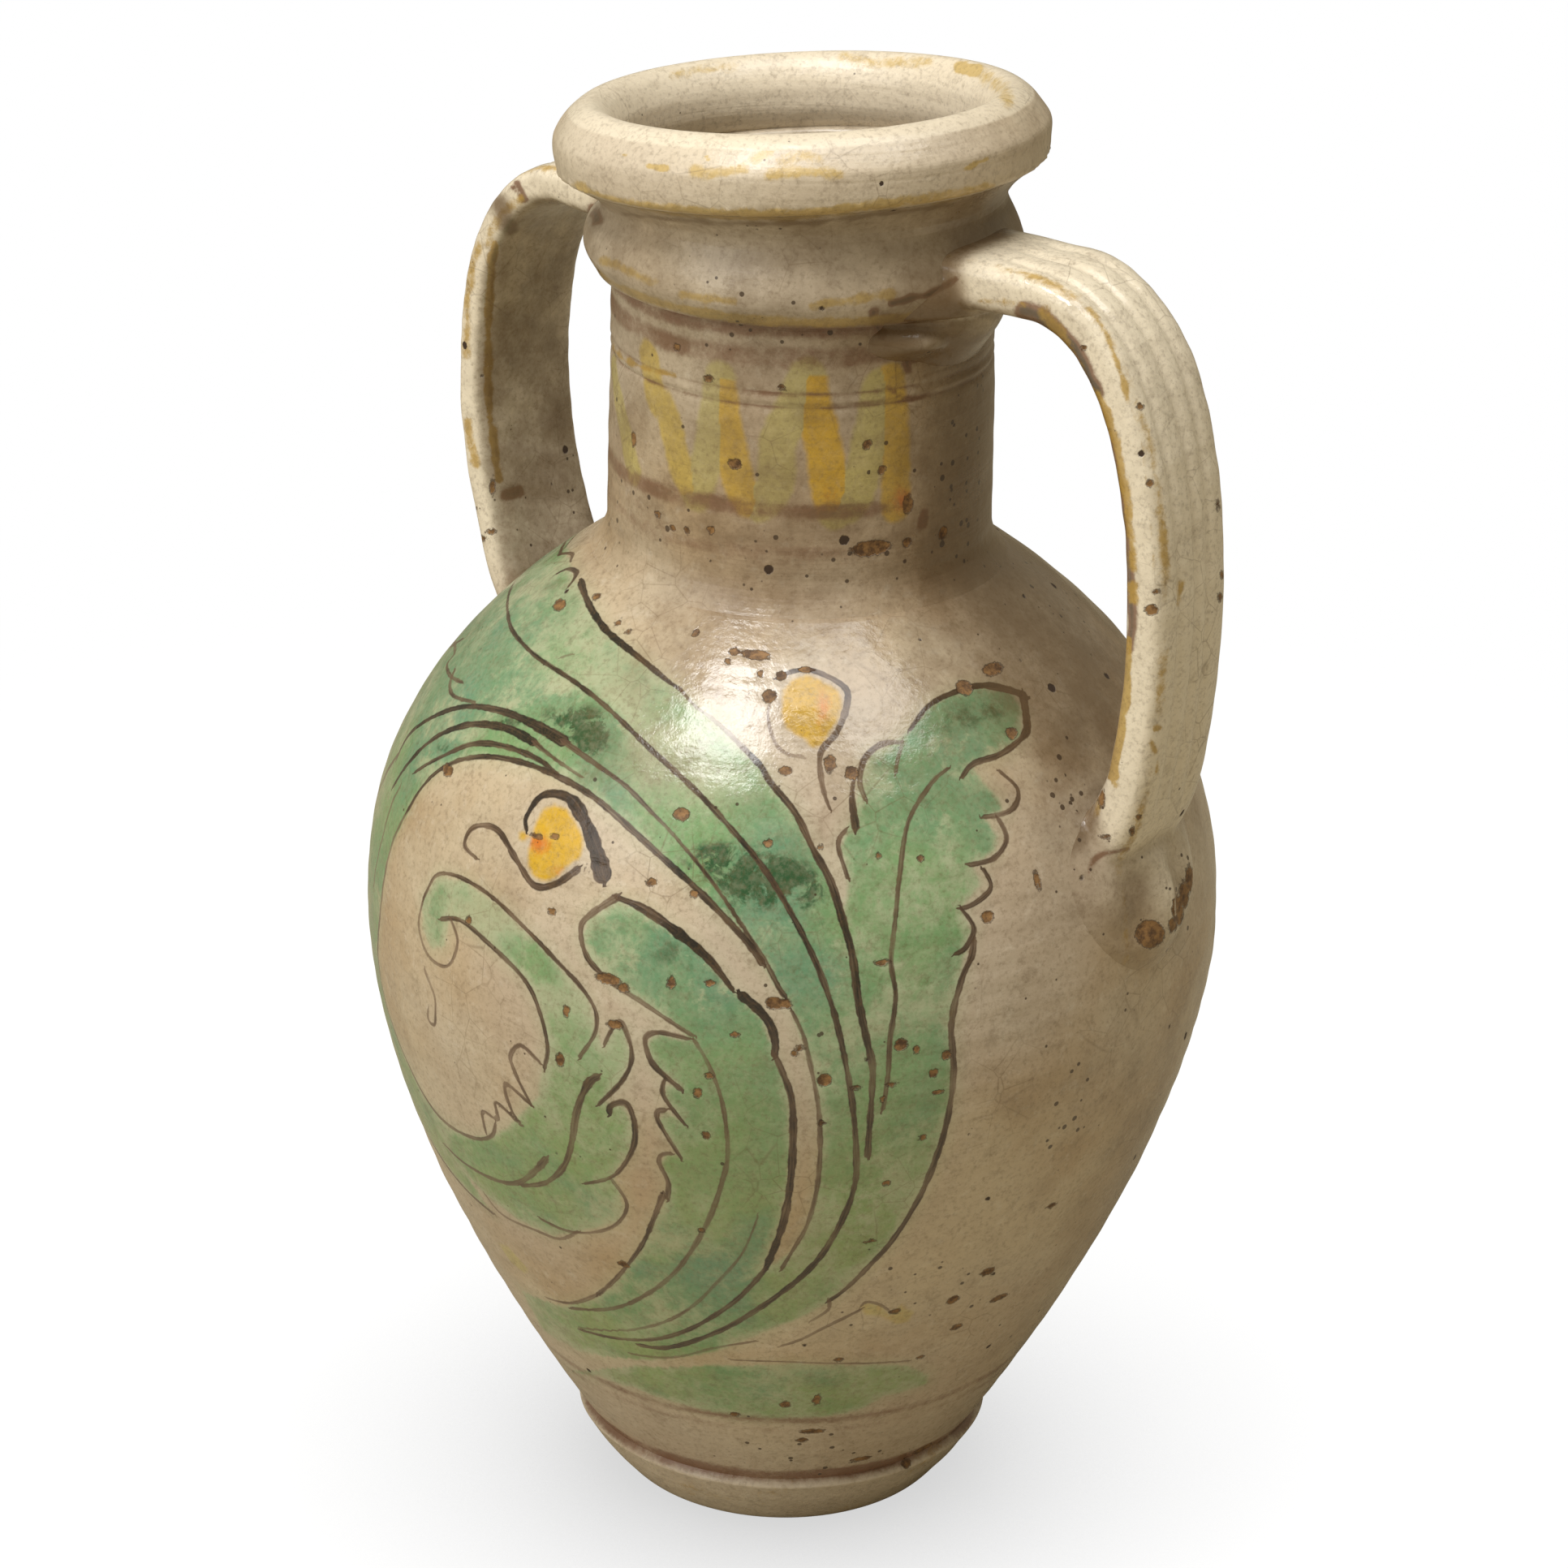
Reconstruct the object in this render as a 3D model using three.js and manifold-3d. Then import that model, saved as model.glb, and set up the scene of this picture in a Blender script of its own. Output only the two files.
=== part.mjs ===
// Two-handled maiolica water jug: thrown foot, belly, shoulder, neck, collar and rim,
// with two pulled strap handles and the clay worked round their ends.
// Millimetres, +Z up. The origin is the middle of the flat base. The handles lie near the X axis.
import * as THREE from 'three';
import { mergeVertices } from 'three/addons/utils/BufferGeometryUtils.js';
import Module from 'manifold-3d';

// Foot
const baseRadius = 43;            // flat ring on the table
const footRadius = 60.3;          // widest part of the foot, just under its groove
const footHeight = 20.8;
const footRounding = 0.62;        // power of the foot's outer curve, under 1 is full
const footGrooveDepth = 1.7;
const footGrooveWidth = 2;
const floorThickness = 12;

// Belly and shoulder
const bellyRadius = 120.3;
const lowerBodyHeight = 153.7;    // groove of the foot to the widest part
const lowerBodyPower = 1.6;
const shoulderSpan = 111;         // widest part to the neck
const shoulderPower = 2.5;
const bodyWall = 8;
const innerShoulderDrop = 5;      // the inside turns into the neck this much lower

// Neck
const neckRadius = 53.6;
const neckLength = 77.5;           // shoulder to the underside of the ledge
const neckFlareHeight = 10;
const neckSeat = 3;               // the neck is set on the shoulder this much below its top
const neckWaist = 0.8;            // how much the neck narrows under the ledge
const neckWall = 8;

// Collar: ledge, throat and the flare under the rim
const ledgeRadius = 60.2;
const ledgeHeight = 14;
const ledgeUndercut = 3;
const throatRadius = 55.6;
const throatRise = 5;             // top of the ledge to the throat
const collarFlareHeight = 8.5;    // throat to the joint under the rim
const throatBoreRadius = 51.5;
const collarWallAtRim = 10.6;

// Rim
const rimRadius = 67.6;
const rimWidth = 18.4;
const rimHeight = 22.2;
const rimJointRise = 2;           // how far the roll starts above its own lowest line
const rimTiltDegrees = 5.4;       // the mouth leans, and its high side is beside handle_right
const rimTiltAzimuth = -9.8;
const tiltTakeUp = 19;            // height over which the lean grows from nothing

// Handles
const strapRibCount = 4;
const strapRibDepth = 1.1;
const strapCorner = 4;
const handleSkewDegrees = 5.5;    // both handles sit this much behind the X axis
const handleGap = 0.3;
const strapSink = 12;             // how far a strap's line runs on inside the wall before it is cut

// A strap's middle line swings out as far as the belly, less a little (pastBelly)
const handles = {
  right: {
    azimuth: handleSkewDegrees,
    width: 37, thickness: 14, endThickness: 16,
    crownOut: 26, crownRise: 3, crownPull: 26,
    pastBelly: -0.2, loopDrop: 84.5, pullUp: 52, pullDown: 30,
    landingDrop: 147.5, landingDepth: 4, landingAngle: 60, landingPull: 16,
  },
  left: {
    azimuth: 180 - handleSkewDegrees,
    width: 38, thickness: 12, endThickness: 14,
    crownOut: 25, crownRise: 0.5, crownPull: 23,
    pastBelly: -3.1, loopDrop: 61.5, pullUp: 37, pullDown: 28,
    landingDrop: 128.5, landingDepth: 1.5, landingAngle: 62, landingPull: 18,
  },
};

// Clay worked round the handle ends: arc is the half length round the pot
const upperRoot = { arc: 34, rise: 18, depth: 13, below: 8 };
const lowerRoot = { arc: 27, rise: 19, depth: 9, below: 9 };
const thumbMark = { radius: 12, along: [-13, 9], below: 11, out: 16 };

const turnSegments = 48;
const curveSteps = 8;
const strapSteps = 24;
const ribSteps = 3;

// Heights worked out from the sizes above
const seamHeight = footHeight + lowerBodyHeight;
const neckTop = seamHeight + shoulderSpan + neckLength;
const neckBottom = seamHeight + shoulderSpan - neckSeat;
const ledgeMiddle = neckTop + ledgeHeight / 2;
const ledgeTop = neckTop + ledgeHeight;
const throatHeight = ledgeTop + throatRise;
const rimJoint = throatHeight + collarFlareHeight;
const rimMiddle = rimJoint - rimJointRise + rimHeight / 2;
const rimMiddleRadius = rimRadius - rimWidth / 2;

const degrees = Math.PI / 180;
const glaze = { cream: 0xd9c9b3, pale: 0xe6dccb, taupe: 0xbcab98, leaf: 0x7fa37c, clay: 0xcdb594 };

const wasm = await Module();
wasm.setup();

function lowerRadius(z) {
  const down = (seamHeight - z) / lowerBodyHeight;
  return bellyRadius - (bellyRadius - footRadius + footGrooveDepth) * down ** lowerBodyPower;
}

function shoulderRadius(z) {
  const up = (z - seamHeight) / shoulderSpan;
  return bellyRadius - (bellyRadius - neckRadius) * up ** shoulderPower;
}

function shoulderBore(z) {
  const up = Math.min(1, (z - seamHeight) / (shoulderSpan - innerShoulderDrop));
  const widest = bellyRadius - bodyWall;
  return widest - (widest - neckRadius + neckWall) * up ** shoulderPower;
}

function along(from, to, steps, radiusAt) {
  return Array.from({ length: steps + 1 }, (_, i) => {
    const z = from + (to - from) * i / steps;
    return [radiusAt(z), z];
  });
}

function smooth(points, steps = curveSteps) {
  const curve = new THREE.SplineCurve(points.map(([r, z]) => new THREE.Vector2(r, z)));
  return curve.getPoints(steps).map(p => [p.x, p.y]);
}

// Leans the mouth: nothing below the ledge's middle, all of it from the rim joint up.
// What stands above the throat also moves a little towards the low side.
function leanMouth(geometry) {
  const position = geometry.attributes.position;
  const slope = Math.tan(rimTiltDegrees * degrees);
  const high = new THREE.Vector2(Math.cos(rimTiltAzimuth * degrees), Math.sin(rimTiltAzimuth * degrees));
  for (let i = 0; i < position.count; i++) {
    const at = new THREE.Vector3().fromBufferAttribute(position, i);
    const share = THREE.MathUtils.smoothstep(at.z, rimJoint - tiltTakeUp, rimJoint);
    const reach = at.x * high.x + at.y * high.y;
    const shift = share * slope * (at.z - throatHeight);
    position.setXYZ(i, at.x - shift * high.x, at.y - shift * high.y, at.z + share * slope * reach);
  }
  return geometry;
}

// A profile of [radius, height] points turned about the Z axis
function turned(profile) {
  const points = profile.map(([r, z]) => new THREE.Vector2(r, z));
  return leanMouth(new THREE.LatheGeometry(points, turnSegments).rotateX(Math.PI / 2));
}

function ring(profile) {
  return turned([...profile, profile[0]]);
}

function footOutline() {
  const bulge = along(0, footHeight - footGrooveWidth, 6,
    z => baseRadius + (footRadius - baseRadius) * (z / (footHeight - footGrooveWidth)) ** footRounding);
  return [...bulge, [lowerRadius(footHeight), footHeight]];
}

function neckOutline() {
  const flare = along(neckBottom, neckBottom + neckFlareHeight, 4, (z) => {
    const up = 1 - (z - neckBottom) / neckFlareHeight;
    return neckRadius + (shoulderRadius(neckBottom) - neckRadius) * up ** 2;
  });
  return [...flare, [neckRadius - neckWaist, neckTop - ledgeHeight], [neckRadius - neckWaist, neckTop]];
}

function collarOutline() {
  return [
    [neckRadius - neckWaist, neckTop],
    ...smooth([
      [ledgeRadius - ledgeUndercut, neckTop], [ledgeRadius, neckTop + ledgeHeight * 0.45],
      [ledgeRadius - 1, ledgeTop - 2], [throatRadius, throatHeight],
      [throatRadius + 2, throatHeight + collarFlareHeight / 2], [rimEdge(1), rimJoint],
    ]),
  ];
}

// Radius of the rolled rim's section at the joint, outside for side 1 and inside for side -1
function rimEdge(side) {
  const height = (rimJoint - rimMiddle) / (rimHeight / 2);
  return rimMiddleRadius + side * rimWidth / 2 * Math.sqrt(1 - height * height);
}

function makeFoot() {
  const inner = lowerRadius(footHeight) - bodyWall;
  const floor = smooth([[inner, footHeight], [inner - 4, floorThickness + 2.4], [inner - 14, floorThickness]], 5);
  return turned([[0, 0], ...footOutline(), ...floor, [0, floorThickness]]);
}

function makeLowerBody() {
  const outside = along(footHeight, seamHeight, curveSteps, lowerRadius);
  const inside = along(seamHeight, footHeight, curveSteps, z => lowerRadius(z) - bodyWall);
  return ring([...outside, ...inside]);
}

function makeUpperBody() {
  const outside = along(seamHeight, neckBottom, curveSteps, shoulderRadius);
  const inside = along(neckBottom, seamHeight, curveSteps, shoulderBore);
  return ring([...outside, ...inside]);
}

function makeNeck() {
  const bore = neckRadius - neckWall;
  return ring([...neckOutline(), [bore, neckTop], [bore, neckBottom]]);
}

function makeCollar() {
  const bore = neckRadius - neckWall;
  const inside = smooth([
    [rimJointBore(), rimJoint], [throatBoreRadius, throatHeight], [bore + 1.5, ledgeTop - 1], [bore, ledgeMiddle],
  ], 6);
  return ring([...collarOutline(), ...inside, [bore, neckTop]]);
}

function rimJointBore() {
  return rimEdge(1) - collarWallAtRim;
}

function makeRim() {
  const start = Math.asin((rimJoint - rimMiddle) / (rimHeight / 2));
  const turn = Math.PI - 2 * start;
  const roll = Array.from({ length: 17 }, (_, i) => {
    const angle = start + turn * i / 16;
    return [rimMiddleRadius + rimWidth / 2 * Math.cos(angle), rimMiddle + rimHeight / 2 * Math.sin(angle)];
  });
  return ring(roll);
}

// The outside of the whole pot as one solid, swollen by the clearance, to cut what leans on it
function potEnvelope(clearance) {
  const outline = [
    ...footOutline(), ...along(footHeight, seamHeight, curveSteps, lowerRadius),
    ...along(seamHeight, neckBottom, curveSteps, shoulderRadius), ...neckOutline(), ...collarOutline(),
    [rimRadius, rimMiddle],
  ].map(([r, z]) => [r + clearance, z]);
  return solidOf(turned([[0, 0], ...outline, [0, rimMiddle]]));
}

function solidOf(geometry) {
  const bare = geometry.clone();
  bare.deleteAttribute('normal');
  bare.deleteAttribute('uv');
  const merged = mergeVertices(bare, 1e-4);
  return new wasm.Manifold(new wasm.Mesh({
    numProp: 3,
    vertProperties: Float32Array.from(merged.attributes.position.array),
    triVerts: Uint32Array.from(merged.index.array),
  }));
}

function geometryOf(solid) {
  const mesh = solid.getMesh();
  const geometry = new THREE.BufferGeometry();
  geometry.setAttribute('position', new THREE.BufferAttribute(new Float32Array(mesh.vertProperties), 3));
  geometry.setIndex(new THREE.BufferAttribute(new Uint32Array(mesh.triVerts), 1));
  return geometry;
}

// The middle line of a strap, in its own upright plane: X outwards, Y up
function strapRoute(handle) {
  const crown = new THREE.Vector2(neckRadius + handle.crownOut, ledgeMiddle + handle.crownRise);
  const widest = new THREE.Vector2(bellyRadius + handle.pastBelly, ledgeMiddle - handle.loopDrop);
  const landingHeight = ledgeMiddle - handle.landingDrop;
  const landing = new THREE.Vector2(shoulderRadius(landingHeight) - handle.landingDepth, landingHeight);
  const lead = new THREE.Vector2(Math.cos(handle.landingAngle * degrees), Math.sin(handle.landingAngle * degrees));
  const start = new THREE.Vector2(throatRadius - strapSink, crown.y);
  const route = new THREE.CurvePath();
  route.add(new THREE.LineCurve(start, crown));
  route.add(new THREE.CubicBezierCurve(
    crown, crown.clone().add(new THREE.Vector2(handle.crownPull, 0)),
    widest.clone().add(new THREE.Vector2(0, handle.pullUp)), widest));
  route.add(new THREE.CubicBezierCurve(
    widest, widest.clone().add(new THREE.Vector2(0, -handle.pullDown)),
    landing.clone().addScaledVector(lead, handle.landingPull), landing));
  route.add(new THREE.LineCurve(landing, landing.clone().addScaledVector(lead, -strapSink)));
  return route;
}

// Half of a strap's section is ribbed (the outer face), the other half plain; unit thickness along X
function strapSection(handle, grow) {
  const half = handle.width / 2 + grow;
  const corner = strapCorner;
  const face = 0.5;
  const shape = new THREE.Shape();
  shape.moveTo(-face, -half + corner);
  shape.lineTo(-face, half - corner);
  shape.quadraticCurveTo(-face, half, 0, half);
  shape.quadraticCurveTo(face, half, face, half - corner);
  const ribPoints = strapRibCount * ribSteps;
  for (let i = 1; i < ribPoints; i++) {
    const y = (half - corner) * (1 - 2 * i / ribPoints);
    const dip = strapRibDepth / handle.thickness * (1 - Math.cos(2 * Math.PI * i / ribSteps)) / 2;
    shape.lineTo(face - dip, y);
  }
  shape.lineTo(face, -half + corner);
  shape.quadraticCurveTo(face, -half, 0, -half);
  shape.quadraticCurveTo(-face, -half, -face, -half + corner);
  return shape;
}

function strapSolid(handle, grow = 0) {
  const bar = new THREE.ExtrudeGeometry(strapSection(handle, grow), {
    depth: 1, steps: strapSteps, bevelEnabled: false, curveSegments: 3,
  });
  const route = strapRoute(handle);
  const position = bar.attributes.position;
  for (let i = 0; i < position.count; i++) {
    const t = position.getZ(i);
    const centre = route.getPointAt(t);
    const ahead = tangentAt(route, t);
    const ends = Math.abs(2 * t - 1) ** 3;
    const thickness = handle.thickness + (handle.endThickness - handle.thickness) * ends + 2 * grow;
    const out = position.getX(i) * thickness;
    position.setXYZ(i, centre.x - ahead.y * out, -position.getY(i), centre.y + ahead.x * out);
  }
  return solidOf(bar.rotateZ(handle.azimuth * degrees));
}

function tangentAt(route, t) {
  const step = 0.004;
  const from = route.getPointAt(Math.max(0, t - step));
  return route.getPointAt(Math.min(1, t + step)).sub(from).normalize();
}

// A flattened ball bent round the pot: X is depth, Y runs round, Z is up
function bentBall(size, radius, height, azimuth) {
  const ball = new THREE.SphereGeometry(1, 20, 12).rotateX(Math.PI / 2).scale(size.depth, size.arc, size.rise);
  const position = ball.attributes.position;
  for (let i = 0; i < position.count; i++) {
    const r = radius + position.getX(i);
    const angle = azimuth * degrees + position.getY(i) / radius;
    position.setXYZ(i, r * Math.cos(angle), r * Math.sin(angle), height + position.getZ(i));
  }
  return solidOf(ball);
}

function makeStrap(handle, envelope) {
  return geometryOf(largest(strapSolid(handle).subtract(envelope)));
}

function makeUpperRoot(handle, envelope) {
  const ball = bentBall(upperRoot, neckRadius, ledgeMiddle - upperRoot.below, handle.azimuth);
  return geometryOf(largest(ball.subtract(envelope).subtract(strapSolid(handle, handleGap))));
}

function makeLowerRoot(handle, envelope) {
  const height = ledgeMiddle - handle.landingDrop - lowerRoot.below;
  const radius = shoulderRadius(height);
  let pad = bentBall(lowerRoot, radius, height, handle.azimuth).subtract(envelope);
  pad = pad.subtract(strapSolid(handle, handleGap));
  for (const arc of thumbMark.along) {
    const angle = handle.azimuth * degrees + arc / radius;
    const thumb = new THREE.SphereGeometry(thumbMark.radius, 16, 10).translate(
      (radius + thumbMark.out) * Math.cos(angle), (radius + thumbMark.out) * Math.sin(angle),
      height + lowerRoot.below - thumbMark.below);
    pad = pad.subtract(solidOf(thumb));
  }
  return geometryOf(largest(pad));
}

function largest(solid) {
  const pieces = solid.decompose();
  return pieces.reduce((best, piece) => (piece.volume() > best.volume() ? piece : best));
}

const group = new THREE.Group();

function addPiece(name, geometry, color, roughness = 0.35) {
  const mesh = new THREE.Mesh(geometry, new THREE.MeshStandardMaterial({ color, roughness, metalness: 0 }));
  mesh.name = name;
  group.add(mesh);
}

addPiece('foot', makeFoot(), glaze.taupe);
addPiece('lower_body', makeLowerBody(), glaze.leaf);
addPiece('upper_body', makeUpperBody(), glaze.cream);
addPiece('neck', makeNeck(), glaze.taupe);
addPiece('collar', makeCollar(), glaze.cream);
addPiece('rim', makeRim(), glaze.pale);

const envelope = potEnvelope(handleGap);
for (const [side, handle] of Object.entries(handles)) {
  addPiece(`handle_${side}`, makeStrap(handle, envelope), glaze.pale);
  addPiece(`handle_${side}_upper_root`, makeUpperRoot(handle, envelope), glaze.clay);
  addPiece(`handle_${side}_lower_root`, makeLowerRoot(handle, envelope), glaze.clay);
}

export default group;
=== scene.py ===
# Two-handled maiolica water jug: thrown in sections, glazed white and painted by hand.
# Sizes are in millimetres and become metres when a mesh is written.
import math
import bpy
import bmesh
import numpy as np
from mathutils import Matrix, Vector


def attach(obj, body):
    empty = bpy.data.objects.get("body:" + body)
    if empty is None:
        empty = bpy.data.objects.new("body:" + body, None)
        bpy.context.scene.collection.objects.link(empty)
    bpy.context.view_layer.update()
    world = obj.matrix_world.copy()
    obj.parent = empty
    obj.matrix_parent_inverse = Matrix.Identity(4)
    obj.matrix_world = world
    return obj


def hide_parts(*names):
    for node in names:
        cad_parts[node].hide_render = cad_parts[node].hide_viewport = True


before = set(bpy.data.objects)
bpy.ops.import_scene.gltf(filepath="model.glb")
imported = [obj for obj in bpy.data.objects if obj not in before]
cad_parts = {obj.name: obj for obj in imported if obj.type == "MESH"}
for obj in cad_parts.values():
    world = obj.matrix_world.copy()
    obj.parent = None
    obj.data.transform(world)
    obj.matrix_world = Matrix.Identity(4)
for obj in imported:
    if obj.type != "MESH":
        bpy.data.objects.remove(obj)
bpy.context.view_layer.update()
print("frame loaded:", len(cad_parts), "nodes")

mm = 0.001
sectors = 40             # a thrown piece is spun in this many steps,
sectorCuts = 16          # then each step is cut finer and rounded, alike for every piece so that they meet

# The thrown shape
pot = dict(
    footHeight=20.8, baseRadius=43, footRadius=60.3, footRounding=0.62, grooveDepth=1.7, grooveWidth=2,
    floorThickness=12, bellyRadius=120.3, lowerHeight=153.7, lowerPower=1.6, shoulderSpan=111,
    shoulderPower=2.5, wall=8, innerDrop=5, neckRadius=53.6, neckLength=77.5, flareHeight=10, neckSeat=3,
    neckWaist=0.8, ledgeRadius=60.2, ledgeHeight=14, throatRadius=55.6, throatRise=5, collarFlare=8.5,
    collarWall=10.6, rimRadius=67.6, rimWidth=18.4, rimHeight=22.2, rimJointRise=2, rimTilt=5.4,
    rimTiltAzimuth=-9.8, tiltTakeUp=19,
)
creaseAngle = 48         # degrees, above which an edge is shaded sharp
seamHeight = pot["footHeight"] + pot["lowerHeight"]
shoulderTop = seamHeight + pot["shoulderSpan"]
neckBottom = shoulderTop - pot["neckSeat"]
neckTop = shoulderTop + pot["neckLength"]
ledgeMiddle = neckTop + pot["ledgeHeight"] / 2
ledgeTop = neckTop + pot["ledgeHeight"]
throatHeight = ledgeTop + pot["throatRise"]
rimJoint = throatHeight + pot["collarFlare"]
rimMiddle = rimJoint - pot["rimJointRise"] + pot["rimHeight"] / 2
rimMiddleRadius = pot["rimRadius"] - pot["rimWidth"] / 2
neckBore = pot["neckRadius"] - pot["wall"]


def partWay(value, start, end):
    # how far a value lies along the way from start to end, between 0 and 1
    return np.clip((value - start) / (end - start), 0, 1)


def smoothStep(value, start, end):
    t = partWay(value, start, end)
    return t * t * (3 - 2 * t)


def wayAt(degrees):
    return np.array([math.cos(math.radians(degrees)), math.sin(math.radians(degrees))])


def footRadius(z):
    top = pot["footHeight"] - pot["grooveWidth"]
    spread = (pot["footRadius"] - pot["baseRadius"]) * partWay(z, 0, top) ** pot["footRounding"]
    return pot["baseRadius"] + spread - pot["grooveDepth"] * partWay(z, top, pot["footHeight"])


def lowerRadius(z):
    taper = pot["bellyRadius"] - pot["footRadius"] + pot["grooveDepth"]
    return pot["bellyRadius"] - taper * partWay(z, seamHeight, pot["footHeight"]) ** pot["lowerPower"]


def shoulderRadius(z):
    taper = pot["bellyRadius"] - pot["neckRadius"]
    return pot["bellyRadius"] - taper * partWay(z, seamHeight, shoulderTop) ** pot["shoulderPower"]


def shoulderBore(z):
    widest = pot["bellyRadius"] - pot["wall"]
    up = partWay(z, seamHeight, shoulderTop - pot["innerDrop"])
    return widest - (widest - neckBore) * up ** pot["shoulderPower"]


def neckRadius(z):
    flareTop = neckBottom + pot["flareHeight"]
    waist = partWay(z, flareTop, neckBottom + pot["neckLength"])
    wide = shoulderRadius(neckBottom) - pot["neckRadius"]
    return pot["neckRadius"] + wide * partWay(z, flareTop, neckBottom) ** 2 - pot["neckWaist"] * waist


def potRadius(z):
    z = np.asarray(z, float)
    bands = [z < pot["footHeight"], z < seamHeight, z < neckBottom]
    return np.select(bands, [footRadius(z), lowerRadius(z), shoulderRadius(z)], neckRadius(z))


def smoothLine(points, perSpan):
    # a Catmull-Rom line through the points, in as many dimensions as they have
    p = np.array(points, float)
    ends = np.vstack([p[0], p, p[-1]])
    t = np.linspace(0, 1, perSpan, endpoint=False)[:, None]
    spans = []
    for a, b, c, d in zip(ends, ends[1:], ends[2:], ends[3:]):
        bend, twist = 2 * a - 5 * b + 4 * c - d, 3 * b - a - 3 * c + d
        spans.append(0.5 * (2 * b + (c - a) * t + bend * t ** 2 + twist * t ** 3))
    return np.vstack(spans + [p[-1:]])


def waves(co, size, seed, count=7):
    # a soft seeded swell between about -1 and 1, from crossing sine waves
    rng = np.random.default_rng(seed)
    total = 0
    for _ in range(count):
        way = rng.normal(size=3)
        way *= rng.uniform(0.7, 1.4) * 2 * math.pi / size / np.linalg.norm(way)
        total = total + np.sin(co @ way + rng.uniform(0, 2 * math.pi))
    return total / math.sqrt(count) / 1.4


# Meshes

def vectorsOf(mesh, kind):
    flat = np.empty(len(mesh.vertices) * 3)
    mesh.vertices.foreach_get(kind, flat)
    return flat.reshape(-1, 3)


def places(mesh):
    return vectorsOf(mesh, "co") / mm


def setPlaces(mesh, co):
    mesh.vertices.foreach_set("co", (np.asarray(co) * mm).ravel())
    mesh.update()


def meshFrom(bm, name):
    mesh = bpy.data.meshes.new(name)
    bm.to_mesh(mesh)
    bm.free()
    return mesh


def addObject(name, data):
    added = bpy.data.objects.new(name, data)
    bpy.context.scene.collection.objects.link(added)
    return added


def setValues(mesh, name, values):
    values = np.asarray(values, np.float32)
    kind = "FLOAT_VECTOR" if values.ndim == 2 else "FLOAT"
    layer = mesh.attributes.new(name, kind, "POINT")
    layer.data.foreach_set("vector" if values.ndim == 2 else "value", values.ravel())


def spunMesh(name, profile, closed=True):
    # turns a profile of (radius, height) points once about the Z axis
    bm = bmesh.new()
    ring = [bm.verts.new((r * mm, 0, z * mm)) for r, z in profile]
    for start, end in zip(ring, ring[1:] + ring[:1] if closed else ring[1:]):
        bm.edges.new((start, end))
    bmesh.ops.spin(bm, geom=bm.verts[:] + bm.edges[:], cent=(0, 0, 0), axis=(0, 0, 1),
                   angle=2 * math.pi, steps=sectors, use_merge=True)
    bmesh.ops.remove_doubles(bm, verts=bm.verts, dist=1e-6)
    bmesh.ops.recalc_face_normals(bm, faces=bm.faces)
    around = [edge for edge in bm.edges if abs(edge.verts[0].co.xy.cross(edge.verts[1].co.xy)) > 1e-6]
    bmesh.ops.subdivide_edges(bm, edges=around, cuts=sectorCuts - 1, use_grid_fill=True)
    mesh = meshFrom(bm, name)
    setPlaces(mesh, rounded(places(mesh)))
    return mesh


def rounded(co):
    # moves points on the chords between spin steps out to the true circle
    sector = 2 * math.pi / sectors
    off = np.arctan2(co[:, 1], co[:, 0]) % sector - sector / 2
    grow = np.cos(off) / math.cos(sector / 2)
    return co * np.column_stack([grow, grow, np.ones(len(co))])


def leanMouth(co):
    # tilts the mouth towards its lower side, and the collar under it by degrees
    slope = math.tan(math.radians(pot["rimTilt"]))
    high = wayAt(pot["rimTiltAzimuth"])
    lean = smoothStep(co[:, 2], rimJoint - pot["tiltTakeUp"], rimJoint) * slope
    shift = lean * (co[:, 2] - throatHeight)
    leaned = co.copy()
    leaned[:, :2] -= shift[:, None] * high
    leaned[:, 2] += lean * (co[:, :2] @ high)
    return leaned


# How far in the wall is drawn, in mm. Ovals: lobes round, depth, turn, twist. Swells: depth, size, seed.
hand = dict(
    ovals=[(2, 0.45, 0.7, 140), (3, 0.35, -1.2, -60)], swells=[(0.5, 95, 5), (0.22, 26, 6)],
    ridge=0.16, ridgePitch=8.5, ridgeDrift=0.6, driftSize=31, faintSize=120, footSteady=6,
)


def handShape(co):
    # what hands and wheel leave behind: never outside the thrown line
    x, y, z = co.T
    radius = np.hypot(x, y) + 1e-9
    turn = np.arctan2(y, x)
    off = np.zeros(len(co))
    for lobes, depth, start, twist in hand["ovals"]:
        off -= depth * (1 + np.cos(lobes * turn + start + z / twist)) / 2
    for depth, size, seed in hand["swells"]:
        off -= depth * (1 + waves(co, size, seed)) / 2
    pitch = z / hand["ridgePitch"] + turn / (2 * math.pi) + hand["ridgeDrift"] * np.sin(z / hand["driftSize"])
    strong = 0.4 + 0.6 * smoothStep(waves(co, hand["faintSize"], 8), -0.5, 0.8)
    off -= hand["ridge"] * (1 + np.cos(2 * math.pi * pitch)) / 2 * strong
    shaped = co.copy()
    shaped[:, :2] *= (1 + off * smoothStep(z, 0, hand["footSteady"]) / radius)[:, None]
    return shaped


def addPiece(name, mesh, nodes, material):
    mesh.shade_smooth()
    mesh.set_sharp_from_angle(angle=math.radians(creaseAngle))
    mesh.materials.clear()
    mesh.materials.append(material)
    piece = addObject(name, mesh)
    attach(piece, "root")
    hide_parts(*nodes)


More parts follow.
